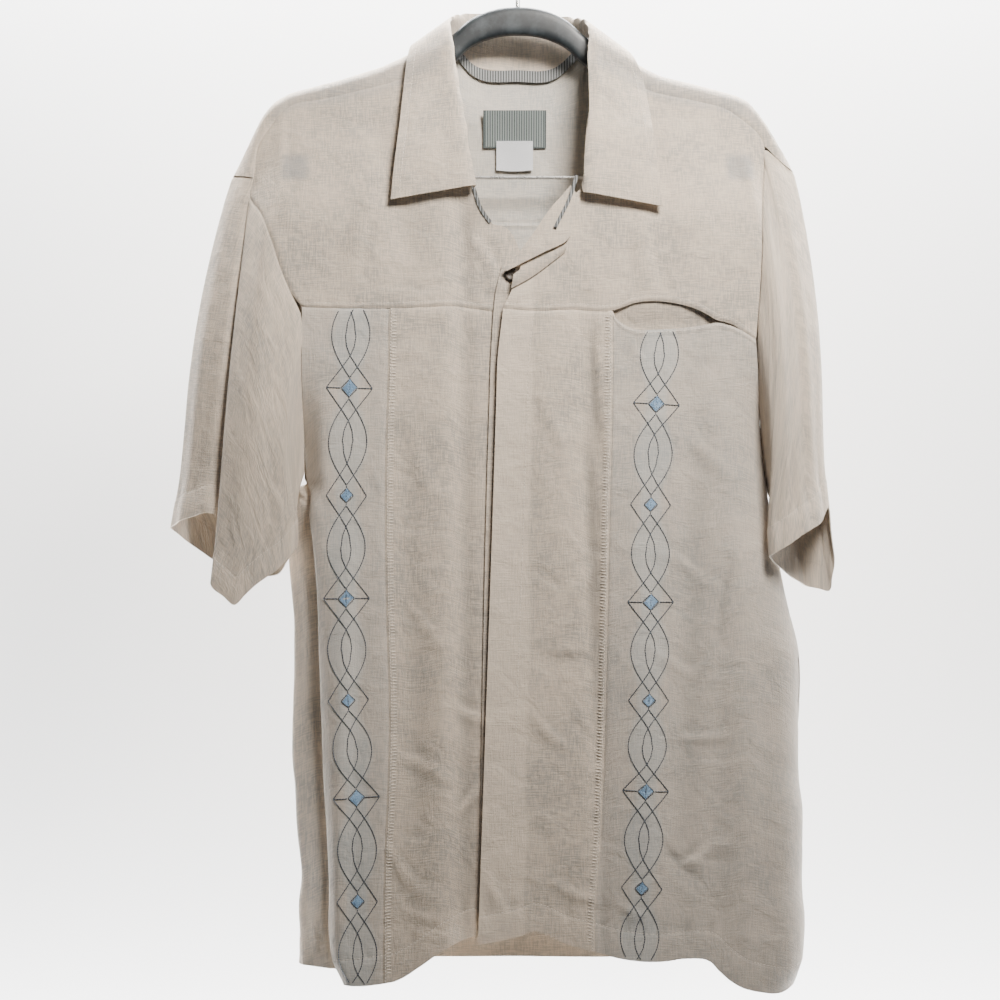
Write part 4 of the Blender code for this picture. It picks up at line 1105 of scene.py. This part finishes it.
# The sleeves: one wide piece of linen each, sewn into the armhole and turned up at the cuff. They hang flat
# under their own weight, and the left one is folded at its hem.
RIGHT_SLEEVE = (
    (0.000, -309, -2, -540, -9, 0),
    (0.020, -297, -20, -533, -5, -6),
    (0.035, -274, -27, -526, 0, -7),
    (0.055, -247, -24, -534, 2, 1),
    (0.085, -266, -37, -591, -2, -7),
    (0.130, -246, -41, -606, -3, -9),
    (0.200, -228, -40, -589, -4, -9),
    (0.280, -209, -37, -575, -5, -8),
    (0.390, -197, -31, -561, -5, -7),
    (0.510, -195, -23, -556, -3, -5),
    (0.610, -214, -4, -581, -5, 0),
    (0.720, -240, 12, -586, -8, 4),
    (0.840, -274, 18, -570, -8, 5),
    (0.930, -297, 12, -553, -8, 4),
)
LEFT_SLEEVE = (
    (0.000, 278, 0, -524, 8, 0),
    (0.020, 274, -16, -520, 7, -5),
    (0.045, 263, -31, -536, 7, -9),
    (0.090, 249, -38, -544, 7, -10),
    (0.160, 236, -41, -553, 7, -10),
    (0.250, 223, -40, -561, 7, -10),
    (0.370, 219, -36, -564, 5, -9),
    (0.510, 222, -30, -567, 3, -7),
    (0.610, 243, -8, -583, 5, 2),
    (0.720, 262, 12, -593, 7, 5),
    (0.840, 282, 16, -597, 8, 5),
    (0.930, 285, 12, -576, 8, 4),
)


def armhole_loop(shoulder_end, front, underarm, back):
    front = [(x, front_y(x, z), z) for x, z in sample(front, 60)]
    lower = [(x, front_y(x, z), z) for x, z in underarm]
    return list(shoulder_end) + front + lower + list(back) + [shoulder_end[0]]


def add_sleeve(name, node, loop, table, outward):
    rows = np.asarray(table + ((1.0, *table[0][1:]),), float)
    shares = []
    for start, end in zip(rows[:-1, 0], rows[1:, 0]):
        shares += [start, (start + end) / 2]
    top = sample_at(loop, shares) + np.array(outward)
    guide = np.stack([np.interp(shares, rows[:, 0], rows[:, k]) for k in range(1, 6)], axis=1)
    hem = guide[:, :3]
    bulge = np.zeros_like(hem)
    bulge[:, :2] = guide[:, 3:]
    grid = []
    for share in (0, 0.05, 0.12, 0.22, 0.34, 0.47, 0.6, 0.73, 0.87, 1):
        swell = math.sin(math.pi * min(share * 1.25, 1)) ** 0.8
        grid.append(top + (hem - top) * share + bulge * swell)
    grid = curved(curved(np.stack(grid), 9), 7, axis=1, closed=True)
    grid = respaced(grid, 0, "topstitched", "hem")
    out = outward_of(grid, closed=True)
    grid = sewn(grid, out, top="seam", bottom="hem")
    piece = add_cloth(name, grid, body_linen, closed=True)
    finish_cloth(piece, [node])
    return grid, out


right_sleeve = add_sleeve(
    "right_sleeve_cloth", "right_sleeve",
    armhole_loop(
        SHOULDER_END_RIGHT, ARMHOLE_RIGHT, ((-189, -385), (-189, -427), (-188, -465)), ARMHOLE_BACK_RIGHT
    ),
    RIGHT_SLEEVE, (-0.5, 0.3, 0),
)
left_sleeve = add_sleeve(
    "left_sleeve_cloth", "left_sleeve",
    armhole_loop(SHOULDER_END_LEFT, ARMHOLE_LEFT[1:], SIDE_LEFT[1:2], ARMHOLE_BACK_LEFT),
    LEFT_SLEEVE, (0.5, 0.3, 0),
)

# The collar: two layers of linen over a thin interlining, with a topstitched edge, sewn to the neck seam. It
# rises to its roll line and falls from there to two long points.
def add_collar():
    right = sample_at(curved(COLLAR[:NECK_START + 1], 8), np.linspace(0, 1, 7))
    left = sample_at(curved(COLLAR[NECK_END:], 8), np.linspace(0, 1, 7))
    middle = sample_at(COLLAR[NECK_START:NECK_END + 1], np.linspace(0, 1, 15))
    rows = []
    for row in np.concatenate([right[:-1], middle, left[1:]]):
        seam, roll, edge = row[:3], row[3:6], row[6:]
        front_share = smooth((-3 - seam[1]) / 6)
        shoulder_share = math.exp(-(((seam[1] + 6) / 6) ** 2))
        shift_x = -math.copysign(2.2 * shoulder_share, seam[0])
        rise = 2.2 - 1.6 * front_share + 2.4 * shoulder_share
        seam = seam + np.array((shift_x, -2.0 * front_share, rise))
        fall = edge - roll
        falling = [roll + fall * share for share in (0.06, 0.3, 0.65)]
        rows.append([seam, seam * 0.5 + roll * 0.5, roll, *falling, edge])
    grid = np.array(rows)
    grid[:, 3:6, 1] += np.array((-1.4, -1.6, -1.0)) * np.where(grid[:, 2, 1] < 0, 1, -1)[:, None]
    grid = curved(curved(grid, 7), 6, axis=1)
    grid = respaced(grid, 0, "topstitched", "topstitched")
    grid = respaced(grid, 1, "plain", "topstitched")
    outward = normals_of(grid)
    turned = (outward[..., 1] * np.where(grid[..., 1] < 0, -1, 1)).sum() > 0
    outward = outward if turned else -outward
    piece = add_cloth("collar_cloth", grid, body_linen, thickness=1.5)
    finish_cloth(piece, ["collar"])
    return grid, outward


collar_grid, collar_outward = add_collar()

# The tape along the neck seam and down the inside of both fronts, the main label and the care label: woven in
# grey and white stripes or plain white, and sewn to the inside. The tape covers the seam's raw edges.
TAPE_RIGHT = ((-40, -238), (-37, -247), (-34, -256), (-28, -266), (-24, -271))
TAPE_LEFT = ((51, -232), (48, -243), (44, -254), (38, -266), (32.5, -277))


def woven_stripes(name, ground, stripe, pitch, border=None):
    """Woven ribbon: fine stripes that run across its length, with a fine rib and frayed tone."""
    made, tree, shader = new_material(name, ground, 0.75)
    shader.inputs["Sheen Weight"].default_value = 0.2
    place = add_node(tree, "ShaderNodeUVMap", uv_map="cloth").outputs[0]
    split = add_node(tree, "ShaderNodeSeparateXYZ", {0: place}).outputs

    def maths(operation, *values):
        return add_node(tree, "ShaderNodeMath", dict(enumerate(values)), operation=operation).outputs[0]

    wave = maths("SINE", maths("MULTIPLY", split[0], 2 * math.pi / (pitch * MM)))
    edge = add_node(
        tree, "ShaderNodeMapRange", {"Value": wave, "From Min": -0.25, "From Max": 0.25}
    ).outputs[0]
    if border:
        low, high, left, right = (value * MM for value in border)
        inside = maths("MULTIPLY", maths("GREATER_THAN", split[1], low), maths("LESS_THAN", split[1], high))
        sides = maths("MULTIPLY", maths("GREATER_THAN", split[0], left), maths("LESS_THAN", split[0], right))
        edge = maths("MULTIPLY", edge, maths("MULTIPLY", inside, sides))
    noise = add_node(tree, "ShaderNodeTexNoise", {"Vector": place, "Scale": 1300, "Detail": 2})
    colour = mixed(tree, edge, (*ground, 1), (*stripe, 1))
    tone = add_node(
        tree, "ShaderNodeMapRange", {"Value": noise.outputs[0], "From Min": 0.35, "From Max": 0.7}
    ).outputs[0]
    colour = mixed(tree, maths("MULTIPLY", tone, 0.35), colour, (0.2, 0.2, 0.2, 1))
    rib = maths("SINE", maths("MULTIPLY", split[1], 2 * math.pi / (0.7 * MM)))
    height = maths("MULTIPLY_ADD", rib, 0.00006, maths("MULTIPLY", noise.outputs[0], 0.0002))
    bump = add_node(tree, "ShaderNodeBump", {"Strength": 1.0, "Distance": 1.0, "Height": height})
    tree.links.new(colour, shader.inputs["Base Color"])
    tree.links.new(bump.outputs[0], shader.inputs["Normal"])
    return made


def add_tape(look):
    rows = []
    for row in neck_stations[10:-10]:
        inward = np.array((-row[0], -18 - row[1], 0))
        inward = 3.0 * inward / np.linalg.norm(inward)
        rows.append([row[:3] + inward + np.array((0, 0, 3.4 - 2.1 * k)) for k in range(6)])
    back = add_cloth("neck_seam_tape", np.array(rows), look, thickness=0.6)
    finish_cloth(back, ["neck_tape"])
    for name, line, depth, lift in (
        ("right_front_tape", TAPE_RIGHT, under_y, 1.3), ("left_front_tape", TAPE_LEFT, front_y, 4.6),
    ):
        middle = sample(line, 26)
        along = np.gradient(middle, axis=0)
        along /= np.linalg.norm(along, axis=1, keepdims=True)
        aside = np.stack([-along[:, 1], along[:, 0]], axis=1)
        flat = np.stack([middle + aside * width for width in np.linspace(-1.5, 1.5, 5)], axis=1)
        grid = drape(flat, depth)
        grid[..., 1] -= lift + 0.5 * ripple(np.arange(26) * 4.0)[:, None]
        tape = add_cloth(name, grid, look, thickness=0.6)
        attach(tape, "root")


def add_label(name, node, sides, lift, look, curl):
    left, right, top, bottom = sides
    upper = sample_at(((left, top), (right, top)), np.linspace(0, 1, 28))
    lower = sample_at(((left, bottom), (right, bottom)), np.linspace(0, 1, 28))
    lower[:, 1] -= curl * np.sin(np.linspace(0, math.pi, 28))
    ends = [sample_at((upper[k], lower[k]), np.linspace(0, 1, 18)) for k in (0, -1)]
    flat = patch(upper, lower, ends[0], ends[1])
    grid = drape(flat, lambda x, z: back_y(x, z) - lift)
    grid[..., 1] -= 0.35 * np.sin(flat[..., 0] / 6.0) * smooth((top - flat[..., 1]) / 12)
    label = add_cloth(name, grid, look, thickness=0.5)
    finish_cloth(label, [node])


stripes = woven_stripes("striped tape", (0.05, 0.055, 0.055), (0.34, 0.35, 0.35), 2.4)
add_tape(stripes)
pinstripe = woven_stripes(
    "pinstriped label", (0.045, 0.065, 0.065), (0.24, 0.28, 0.27), 2.2, border=(-174.5, -143, -29.5, 24.5)
)
plain_white = woven_stripes("plain white satin", (0.74, 0.76, 0.8), (0.78, 0.8, 0.83), 0.6)
add_label("main_label", "neck_label", (-31, 26, -163, -196), 2.2, pinstripe, 0.0)
add_label("care_label_cloth", "care_label", (-19, 14, -190, -216), 3.6, plain_white, 1.0)

# The buttons: dark brown horn with a dished face and a raised rim, each held by loops of thread to the right
# front under the fly. Only the top one shows.
BUTTON_THICKNESS = 2.4
BUTTON_HEIGHTS = (-317.0, -420.0, -520.0, -620.0, -720.0, -820.0)


def thread_look(name, pale, dark, roughness=0.6):
    """Twisted thread: light and dark bands across it, with a soft gloss."""
    made, tree, shader = new_material(name, pale, roughness)
    place = add_node(tree, "ShaderNodeTexCoord").outputs["Object"]
    twist = add_node(tree, "ShaderNodeTexNoise", {"Vector": place, "Scale": 1500, "Detail": 2})
    shade = add_node(
        tree, "ShaderNodeMapRange", {"Value": twist.outputs[0], "From Min": 0.35, "From Max": 0.65}
    )
    colour = mixed(tree, shade.outputs[0], (*dark, 1), (*pale, 1))
    bump = add_node(tree, "ShaderNodeBump", {"Strength": 0.4, "Distance": 0.0002, "Height": twist.outputs[0]})
    shader.inputs["Sheen Weight"].default_value = 0.15
    tree.links.new(colour, shader.inputs["Base Color"])
    tree.links.new(bump.outputs[0], shader.inputs["Normal"])
    return made


def stitching_tree():
    """Geometry nodes: one stitch for each edge of the guide mesh, as long as its edge."""
    tree = bpy.data.node_groups.new("one stitch an edge", "GeometryNodeTree")
    tree.interface.new_socket("Guide", in_out="INPUT", socket_type="NodeSocketGeometry")
    for name, value in (("Thread width", 0.0005), ("Thread height", 0.0004), ("Overlap", 1.06)):
        tree.interface.new_socket(name, in_out="INPUT", socket_type="NodeSocketFloat").default_value = value
    tree.interface.new_socket("Thread", in_out="INPUT", socket_type="NodeSocketMaterial")
    tree.interface.new_socket("Stitches", in_out="OUTPUT", socket_type="NodeSocketGeometry")
    start = tree.nodes.new("NodeGroupInput").outputs
    ends = tree.nodes.new("GeometryNodeInputMeshEdgeVertices").outputs
    run = add_node(
        tree, "ShaderNodeVectorMath", {0: ends["Position 2"], 1: ends["Position 1"]}, operation="SUBTRACT"
    ).outputs[0]
    kept = tree.nodes.new("GeometryNodeCaptureAttribute")
    kept.domain = "EDGE"
    kept.capture_items.new("VECTOR", "run")
    tree.links.new(start["Guide"], kept.inputs[0])
    tree.links.new(run, kept.inputs[1])
    middles = add_node(tree, "GeometryNodeMeshToPoints", {"Mesh": kept.outputs[0]}, mode="EDGES").outputs[0]
    length = add_node(tree, "ShaderNodeVectorMath", {0: kept.outputs[1]}, operation="LENGTH").outputs["Value"]
    half = add_node(tree, "ShaderNodeMath", {0: length, 1: 0.5}, operation="MULTIPLY").outputs[0]
    reach = add_node(tree, "ShaderNodeMath", {0: half, 1: start["Overlap"]}, operation="MULTIPLY").outputs[0]
    size = add_node(
        tree, "ShaderNodeCombineXYZ", {0: reach, 1: start["Thread height"], 2: start["Thread width"]}
    ).outputs[0]
    turn = add_node(tree, "FunctionNodeAlignEulerToVector", {"Vector": kept.outputs[1]}, axis="X").outputs[0]
    loop = add_node(tree, "GeometryNodeMeshUVSphere", {"Segments": 6, "Rings": 5, "Radius": 1.0}).outputs[0]
    lying = add_node(
        tree, "GeometryNodeTransform", {"Geometry": loop, "Rotation": (0, math.pi / 2, 0)}
    ).outputs[0]
    placed = add_node(
        tree, "GeometryNodeInstanceOnPoints",
        {"Points": middles, "Instance": lying, "Rotation": turn, "Scale": size},
    ).outputs[0]
    solid = add_node(tree, "GeometryNodeRealizeInstances", {0: placed}).outputs[0]
    soft = add_node(tree, "GeometryNodeSetShadeSmooth", {0: solid}).outputs[0]
    done = add_node(
        tree, "GeometryNodeSetMaterial", {"Geometry": soft, "Material": start["Thread"]}
    ).outputs[0]
    end = tree.nodes.new("NodeGroupOutput")
    tree.links.new(done, end.inputs[0])
    return tree


STITCHING = stitching_tree()


def add_stitches(name, pairs, width, look, overlap=1.06):
    """Turns pairs of points, the two ends of each stitch, into thread."""
    pairs = np.asarray(pairs, float) * MM
    mesh = bpy.data.meshes.new(name + " guide")
    edges = np.arange(len(pairs) * 2).reshape(-1, 2)
    mesh.from_pydata(pairs.reshape(-1, 3).tolist(), edges.tolist(), [])
    guide = bpy.data.objects.new(name + "_guide", mesh)
    bpy.context.scene.collection.objects.link(guide)
    maker = guide.modifiers.new("stitches", "NODES")
    maker.node_group = STITCHING
    values = {
        "Thread width": width / 2 * MM, "Thread height": width * 0.4 * MM, "Overlap": overlap, "Thread": look
    }
    for item in STITCHING.interface.items_tree:
        if item.in_out == "INPUT" and item.name in values:
            maker[item.identifier] = values[item.name]
    bpy.context.view_layer.update()
    graph = bpy.context.evaluated_depsgraph_get()
    made = bpy.data.objects.new(name, bpy.data.meshes.new_from_object(guide.evaluated_get(graph)))
    bpy.data.objects.remove(guide)
    bpy.context.scene.collection.objects.link(made)
    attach(made, "root")
    return made


def button_horn():
    """Dark horn: brown streaks in near black, polished, and dull where thumbs have rubbed it."""
    made, tree, shader = new_material("button horn", (0.03, 0.025, 0.02), 0.3)
    place = add_node(tree, "ShaderNodeTexCoord").outputs["Object"]
    streaks = add_node(
        tree, "ShaderNodeTexNoise", {"Vector": place, "Scale": 260, "Detail": 5, "Distortion": 2.5}
    )
    colour = mixed(tree, streaks.outputs[0], (0.008, 0.007, 0.006, 1), (0.1, 0.075, 0.05, 1))
    gloss = add_node(tree, "ShaderNodeMapRange", {"Value": streaks.outputs[0], "To Min": 0.3, "To Max": 0.6})
    tree.links.new(colour, shader.inputs["Base Color"])
    tree.links.new(gloss.outputs[0], shader.inputs["Roughness"])
    return made


# Turned profile of a button, radius and depth from its front: a dished face, a raised rim and a flat back
BUTTON_PROFILE = (
    (0.2, 0.95), (2.6, 0.9), (3.3, 0.55), (3.8, 0.1), (4.6, 0.0), (5.3, 0.2), (5.7, 0.8), (5.7, 1.6),
    (5.1, 2.2), (3.0, 2.4),
)


def add_buttons():
    look = button_horn()
    thread = thread_look("button thread", (0.09, 0.075, 0.06), (0.05, 0.04, 0.035))
    loops = []
    for number, height in enumerate(BUTTON_HEIGHTS, start=1):
        centre_x = float(across(COVER_EDGE, height)) + (7 if number == 1 else 14)
        front = float(front_y(centre_x, height)) + FLY_OFFSET - 0.9 - BUTTON_THICKNESS
        path = np.array([(centre_x, front + depth, height) for radius, depth in BUTTON_PROFILE])
        angles = np.linspace(0, 2 * math.pi, 40, endpoint=False)
        ring = np.stack([np.cos(angles), 0 * angles, np.sin(angles)], axis=1)
        button = add_sweep(
            f"shirt_button_{number}", path, [ring * radius for radius, depth in BUTTON_PROFILE], look
        )
        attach(button, "root")
        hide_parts(f"button_{number}")
        for side in (-1, 1):
            for shift in (-0.25, 0.25):
                ends = [(centre_x + side * 1.1 + shift, front + 0.75, height + rise) for rise in (-1.3, 1.3)]
                loops.append(ends)
    add_stitches("button_threads", loops, 0.5, thread)


add_buttons()

# The sewing: rows of cream topstitching of about eight stitches to 25 mm, and the zigzag that holds the
# allowances of both panel seams flat and draws the cloth into short ribs. Each stitch is one loop of thread.
def stitches_along(line, stitch=2.5, gap=0.7):
    """Pairs of points: one for each stitch along a line."""
    line = np.asarray(line, float)
    length = np.linalg.norm(np.diff(line, axis=0), axis=1).sum()
    count = max(int(length / (stitch + gap)), 1)
    starts = np.arange(count) / count
    ends = starts + stitch / (stitch + gap) / count
    return np.stack([sample_at(line, starts), sample_at(line, ends)], axis=1)


def above(sheet, lift=0.62):
    grid, outward = sheet
    return grid + outward * lift


def add_topstitching():
    cream = thread_look("cream thread", (0.78, 0.71, 0.62), (0.6, 0.53, 0.45))
    lines = []
    for sheet in (right_centre, right_side, left_centre, left_side, (back_grid, back_outward)):
        lines.append(line_at(above(sheet), HEM_DEPTH - 1.4, 0, from_end=True))
    for sheet in (right_yoke, left_yoke):
        lines.append(line_at(above(sheet), 5.0, 0, from_end=True))
    lines.append(line_at(above((yoke_grid, yoke_outward)), 5.0, 0, from_end=True))
    lines.append(line_at(above(left_side), 2.5, 0)[2:-8])
    for sheet in (right_sleeve, left_sleeve):
        ring = line_at(above(sheet), HEM_DEPTH - 1.4, 0, from_end=True)
        lines.append(np.concatenate([ring, ring[:1]]))
    lines.append(line_at(above(left_centre), 27.0, 1)[3:-8])
    lines.append(line_at(above((collar_grid, collar_outward), 0.85), 7.0, 1, from_end=True)[4:-4])
    for from_end in (False, True):
        lines.append(line_at(above((collar_grid, collar_outward), 0.85), 7.0, 0, from_end=from_end)[12:-2])
    pairs = np.concatenate([stitches_along(line) for line in lines])
    add_stitches("topstitching", pairs, 0.55, cream)
    ribs = []
    for sheet, axis, from_end in ((right_centre, 1, False), (left_centre, 1, True)):
        near = line_at(above(sheet), 2.2, axis, from_end)
        far = line_at(above(sheet), 7.4, axis, from_end)
        length = np.linalg.norm(np.diff(near, axis=0), axis=1).sum()
        shares = np.linspace(0.01, 0.985, int(length / 2.9))
        start = sample_at(near, shares)
        end = sample_at(far, np.clip(shares + 0.5 / length * ripple(shares * length), 0, 1))
        ribs.append(np.stack([start, end], axis=1))
        ribs.append(stitches_along(near, 2.2, 0.7))
    add_stitches("panel_seam_zigzag", np.concatenate(ribs), 0.95, cream)


add_topstitching()

# The embroidery: on each side panel a chain of six medallions from the chest seam to the hem. Two pairs of
# dark grey run-stitched strands interlace between them, and each holds a diamond of blue satin stitch.
LOBE = 90.0
OUTER_SWELL = 16.7
APEX = 8.8
TIP = (20.2, 17.6)
DIAMOND = (7.0, 5.8)
INNER_STRAND = ((0, 1.0), (9, 0.665), (17.5, 0.33), (27, 0.0), (35, -0.17), (45, -0.235))
CHAIN_RIGHT = ((-147.4, -417), (-150, -511), (-150, -601), (-148.2, -690), (-141.2, -775), (-140.4, -866))
CHAIN_LEFT = ((121, -431), (115.8, -519), (115.8, -604), (114, -690), (111.4, -769), (107.9, -854))


def chain_place(chain, step, aside):
    """A point beside the chain: step counts medallions, aside is in millimetres to the viewer's right."""
    rows = np.asarray(chain, float)
    longer = np.concatenate([2 * rows[:1] - rows[1:2], rows, 2 * rows[-1:] - rows[-2:-1]])
    dense = curved(longer, 20)
    index = np.clip((np.asarray(step) + 1) * 20, 0, len(dense) - 1)
    spots = np.arange(len(dense))
    centre = np.stack([np.interp(index, spots, dense[:, k]) for k in (0, 1)], axis=-1)
    slope = np.gradient(dense, axis=0)
    slope = np.stack([np.interp(index, spots, slope[:, k]) for k in (0, 1)], axis=-1)
    slope /= np.linalg.norm(slope, axis=-1, keepdims=True)
    side = np.stack([-slope[..., 1], slope[..., 0]], axis=-1)
    return centre + side * np.asarray(aside)[..., None]


def worked_line(points, lift=0.85):
    flat = np.asarray(points, float)
    hem = 0.5 * smooth((across_hem(flat) + HEM_DEPTH + 1) / 1.6)
    return np.stack([flat[:, 0], front_y(flat[:, 0], flat[:, 1]) - lift - hem, flat[:, 1]], axis=1)


def across_hem(flat):
    """How far points lie above the hem line, as a negative number."""
    rows = np.asarray(HEM_RIGHT + HEM_LEFT, float)
    order = np.argsort(rows[:, 0])
    return np.interp(flat[:, 0], rows[order, 0], rows[order, 1]) - flat[:, 1]


def chain_ground(chain):
    """Where the cloth lies under a chain: the ground inside each medallion, worked in fine thread close in
    tone to the cloth.
    """
    rows = np.asarray(chain, float)
    fall = (rows[-1] - rows[-2])[None]
    rows = np.concatenate([rows[:1] - (rows[1] - rows[0])[None], rows, rows[-1:] + fall])

    def share_at(x, z):
        step = np.interp(-z, -rows[:, 1], np.arange(len(rows)))
        middle = np.interp(-z, -rows[:, 1], rows[:, 0])
        swell = np.abs(np.sin(math.pi * step)) * OUTER_SWELL
        return 1 - smooth((np.abs(x - middle) - np.maximum(swell, 9) + 2.5) / 5)

    return share_at


def chain_strands(chain, top, bottom):
    """The lines of dark thread of one chain, cut off at the seam above and the hem below."""
    strands = []
    inner = np.asarray(INNER_STRAND, float)
    for lobe in range(-1, len(chain)):
        t = np.linspace(0, 1, 60)
        swell = OUTER_SWELL * np.sin(math.pi * np.clip((t * LOBE - APEX) / (LOBE - 2 * APEX), 0, 1))
        kept = (t * LOBE >= APEX) & (t * LOBE <= LOBE - APEX)
        nearest = np.minimum(t, 1 - t) * LOBE
        share = np.interp(nearest, inner[:, 0], inner[:, 1])
        tips = np.where(t < 0.5, TIP[lobe % 2], TIP[(lobe + 1) % 2])
        for side in (-1, 1):
            strands.append(chain_place(chain, lobe + t[kept], side * swell[kept]))
            strands.append(chain_place(chain, lobe + t, side * share * tips))
    for number in range(len(chain)):
        broad = DIAMOND[number % 2] + 0.5
        corners = (
            (0, -APEX), (0, -broad), (broad, 0), (0, broad), (-broad, 0), (0, -broad), (0, broad), (0, APEX)
        )
        line = [chain_place(chain, number + down / LOBE, side) for side, down in corners]
        strands.append(sample_at(line, np.linspace(0, 1, 33)))
        if number % 2 == 0:
            for side in (-1, 1):
                strands.append(sample_at(
                    [chain_place(chain, number, side * TIP[0]), chain_place(chain, number, side * broad)],
                    np.linspace(0, 1, 8),
                ))
    cut = []
    for strand in strands:
        inside = (strand[:, 1] < top(strand[:, 0])) & (strand[:, 1] > bottom(strand[:, 0]))
        if inside.sum() > 2:
            cut.append(worked_line(strand[inside]))
    return cut


def satin(chain, number):
    """The ends of the parallel satin stitches that fill one diamond."""
    broad = DIAMOND[number % 2]
    pairs = []
    for down in np.arange(-broad + 0.3, broad - 0.2, 0.42):
        reach = broad - abs(down)
        ends = [
            chain_place(chain, number + (down + tilt) / LOBE, side)
            for side, tilt in ((-reach, 0.6), (reach, -0.6))
        ]
        pairs.append(worked_line(ends, 1.0))
    return pairs


def add_embroidery():
    grey = thread_look("dark grey thread", (0.13, 0.15, 0.17), (0.06, 0.07, 0.085), 0.5)
    blue = thread_look("blue satin thread", (0.3, 0.47, 0.66), (0.16, 0.28, 0.45), 0.4)
    hem = np.asarray(sorted(HEM_RIGHT + HEM_LEFT), float)
    seam = np.asarray(sorted(CHEST_SEAM_RIGHT[:4]), float)
    mouth = np.asarray(sorted(POCKET_EDGE), float)
    for side, chain, edge in (("right", CHAIN_RIGHT, seam), ("left", CHAIN_LEFT, mouth)):
        strands = chain_strands(
            chain, lambda x: np.interp(x, edge[:, 0], edge[:, 1]) - 1.5,
            lambda x: np.interp(x, hem[:, 0], hem[:, 1]) + 1.5,
        )
        pairs = np.concatenate([stitches_along(strand, 2.1, 0.1) for strand in strands])
        add_stitches(f"{side}_chain_strands", pairs, 1.05, grey, overlap=1.15)
        fill = np.concatenate([satin(chain, number) for number in range(len(chain))]).reshape(-1, 2, 3)
        add_stitches(f"{side}_chain_diamonds", fill, 0.55, blue, overlap=1.0)


mark_cloth(bpy.data.objects["right_side_panel"], "thread_tone_and_shade", chain_ground(CHAIN_RIGHT))
mark_cloth(bpy.data.objects["left_side_panel"], "thread_tone_and_shade", chain_ground(CHAIN_LEFT))
add_embroidery()

# The studio: a dark floor that curves up into a white backdrop, which a camera behind it sees through, a key
# light from the front, a weak fill, two lights for the backdrop, and a level camera about 1.4 m in front.
VIEW_X = -15.8
VIEW_Z = -515.0
VIEW_Y = -1375.0


def add_studio():
    profile = [(-2.2, -1.9), (0.15, -1.9)]
    for angle in np.radians(np.linspace(-80, 0, 9)):
        profile.append((0.15 + 0.3 * math.cos(angle), -1.6 + 0.3 * math.sin(angle)))
    profile.append((0.45, 1.4))
    points = [(x, y, z) for x in (-3.0, 3.0) for y, z in profile]
    count = len(profile)
    faces = [(k, k + count, k + 1 + count, k + 1) for k in range(count - 1)]
    mesh = bpy.data.meshes.new("floor")
    mesh.from_pydata(points, [], faces)
    mesh.shade_smooth()
    look, tree, shader = new_material("pale floor", (0.9, 0.9, 0.9), 0.9)
    place = add_node(tree, "ShaderNodeTexCoord").outputs["Object"]
    height = add_node(tree, "ShaderNodeSeparateXYZ", {0: place}).outputs[2]
    wall = add_node(
        tree, "ShaderNodeMapRange", {"Value": height, "From Min": -1.6, "From Max": -1.4}
    ).outputs[0]
    tree.links.new(mixed(tree, wall, (0.06, 0.06, 0.06, 1), (0.9, 0.9, 0.9, 1)), shader.inputs["Base Color"])
    behind = add_node(tree, "ShaderNodeNewGeometry").outputs["Backfacing"]
    seen = add_node(tree, "ShaderNodeLightPath").outputs["Is Camera Ray"]
    clear = add_node(tree, "ShaderNodeMath", {0: behind, 1: seen}, operation="MULTIPLY").outputs[0]
    through = add_node(tree, "ShaderNodeBsdfTransparent").outputs[0]
    surface = add_node(tree, "ShaderNodeMixShader", {0: clear, 1: shader.outputs[0], 2: through}).outputs[0]
    tree.links.new(surface, tree.nodes["Material Output"].inputs["Surface"])
    mesh.materials.append(look)
    floor = bpy.data.objects.new("floor", mesh)
    bpy.context.scene.collection.objects.link(floor)


def add_light(name, place, aim, size, power, colour=(1, 1, 1)):
    light = bpy.data.lights.new(name, "AREA")
    light.shape = "RECTANGLE"
    light.size, light.size_y = size
    light.energy = power
    light.color = colour
    made = bpy.data.objects.new(name, light)
    made.location = place
    made.rotation_euler = (Vector(aim) - Vector(place)).to_track_quat("-Z", "Y").to_euler()
    bpy.context.scene.collection.objects.link(made)


add_studio()
add_light("key", (0.36, -0.72, 0.36), (0.0, 0.0, -0.3), (0.35, 0.3), 29, (1.0, 0.95, 0.89))
add_light("fill", (0.5, -1.9, -0.2), (0, 0, -0.4), (1.6, 1.6), 0.9)
add_light("wall", (0.0, 0.22, 0.75), (0, 0.45, 0.0), (2.4, 0.1), 190)
add_light("wall_low", (0.0, 0.22, -1.55), (0, 0.45, -0.9), (2.4, 0.1), 100)
world = bpy.data.worlds.new("studio")
bpy.context.scene.world = world
world.use_nodes = True
world.node_tree.nodes["Background"].inputs["Color"].default_value = (1, 1, 1, 1)
world.node_tree.nodes["Background"].inputs["Strength"].default_value = 0.055
camera = bpy.data.cameras.new("camera")
camera.sensor_width = 36
camera.lens = 55.4
view = bpy.data.objects.new("camera", camera)
view.location = (VIEW_X * MM, VIEW_Y * MM, VIEW_Z * MM)
view.rotation_euler = (math.pi / 2, 0, 0)
bpy.context.scene.collection.objects.link(view)
bpy.context.scene.camera = view
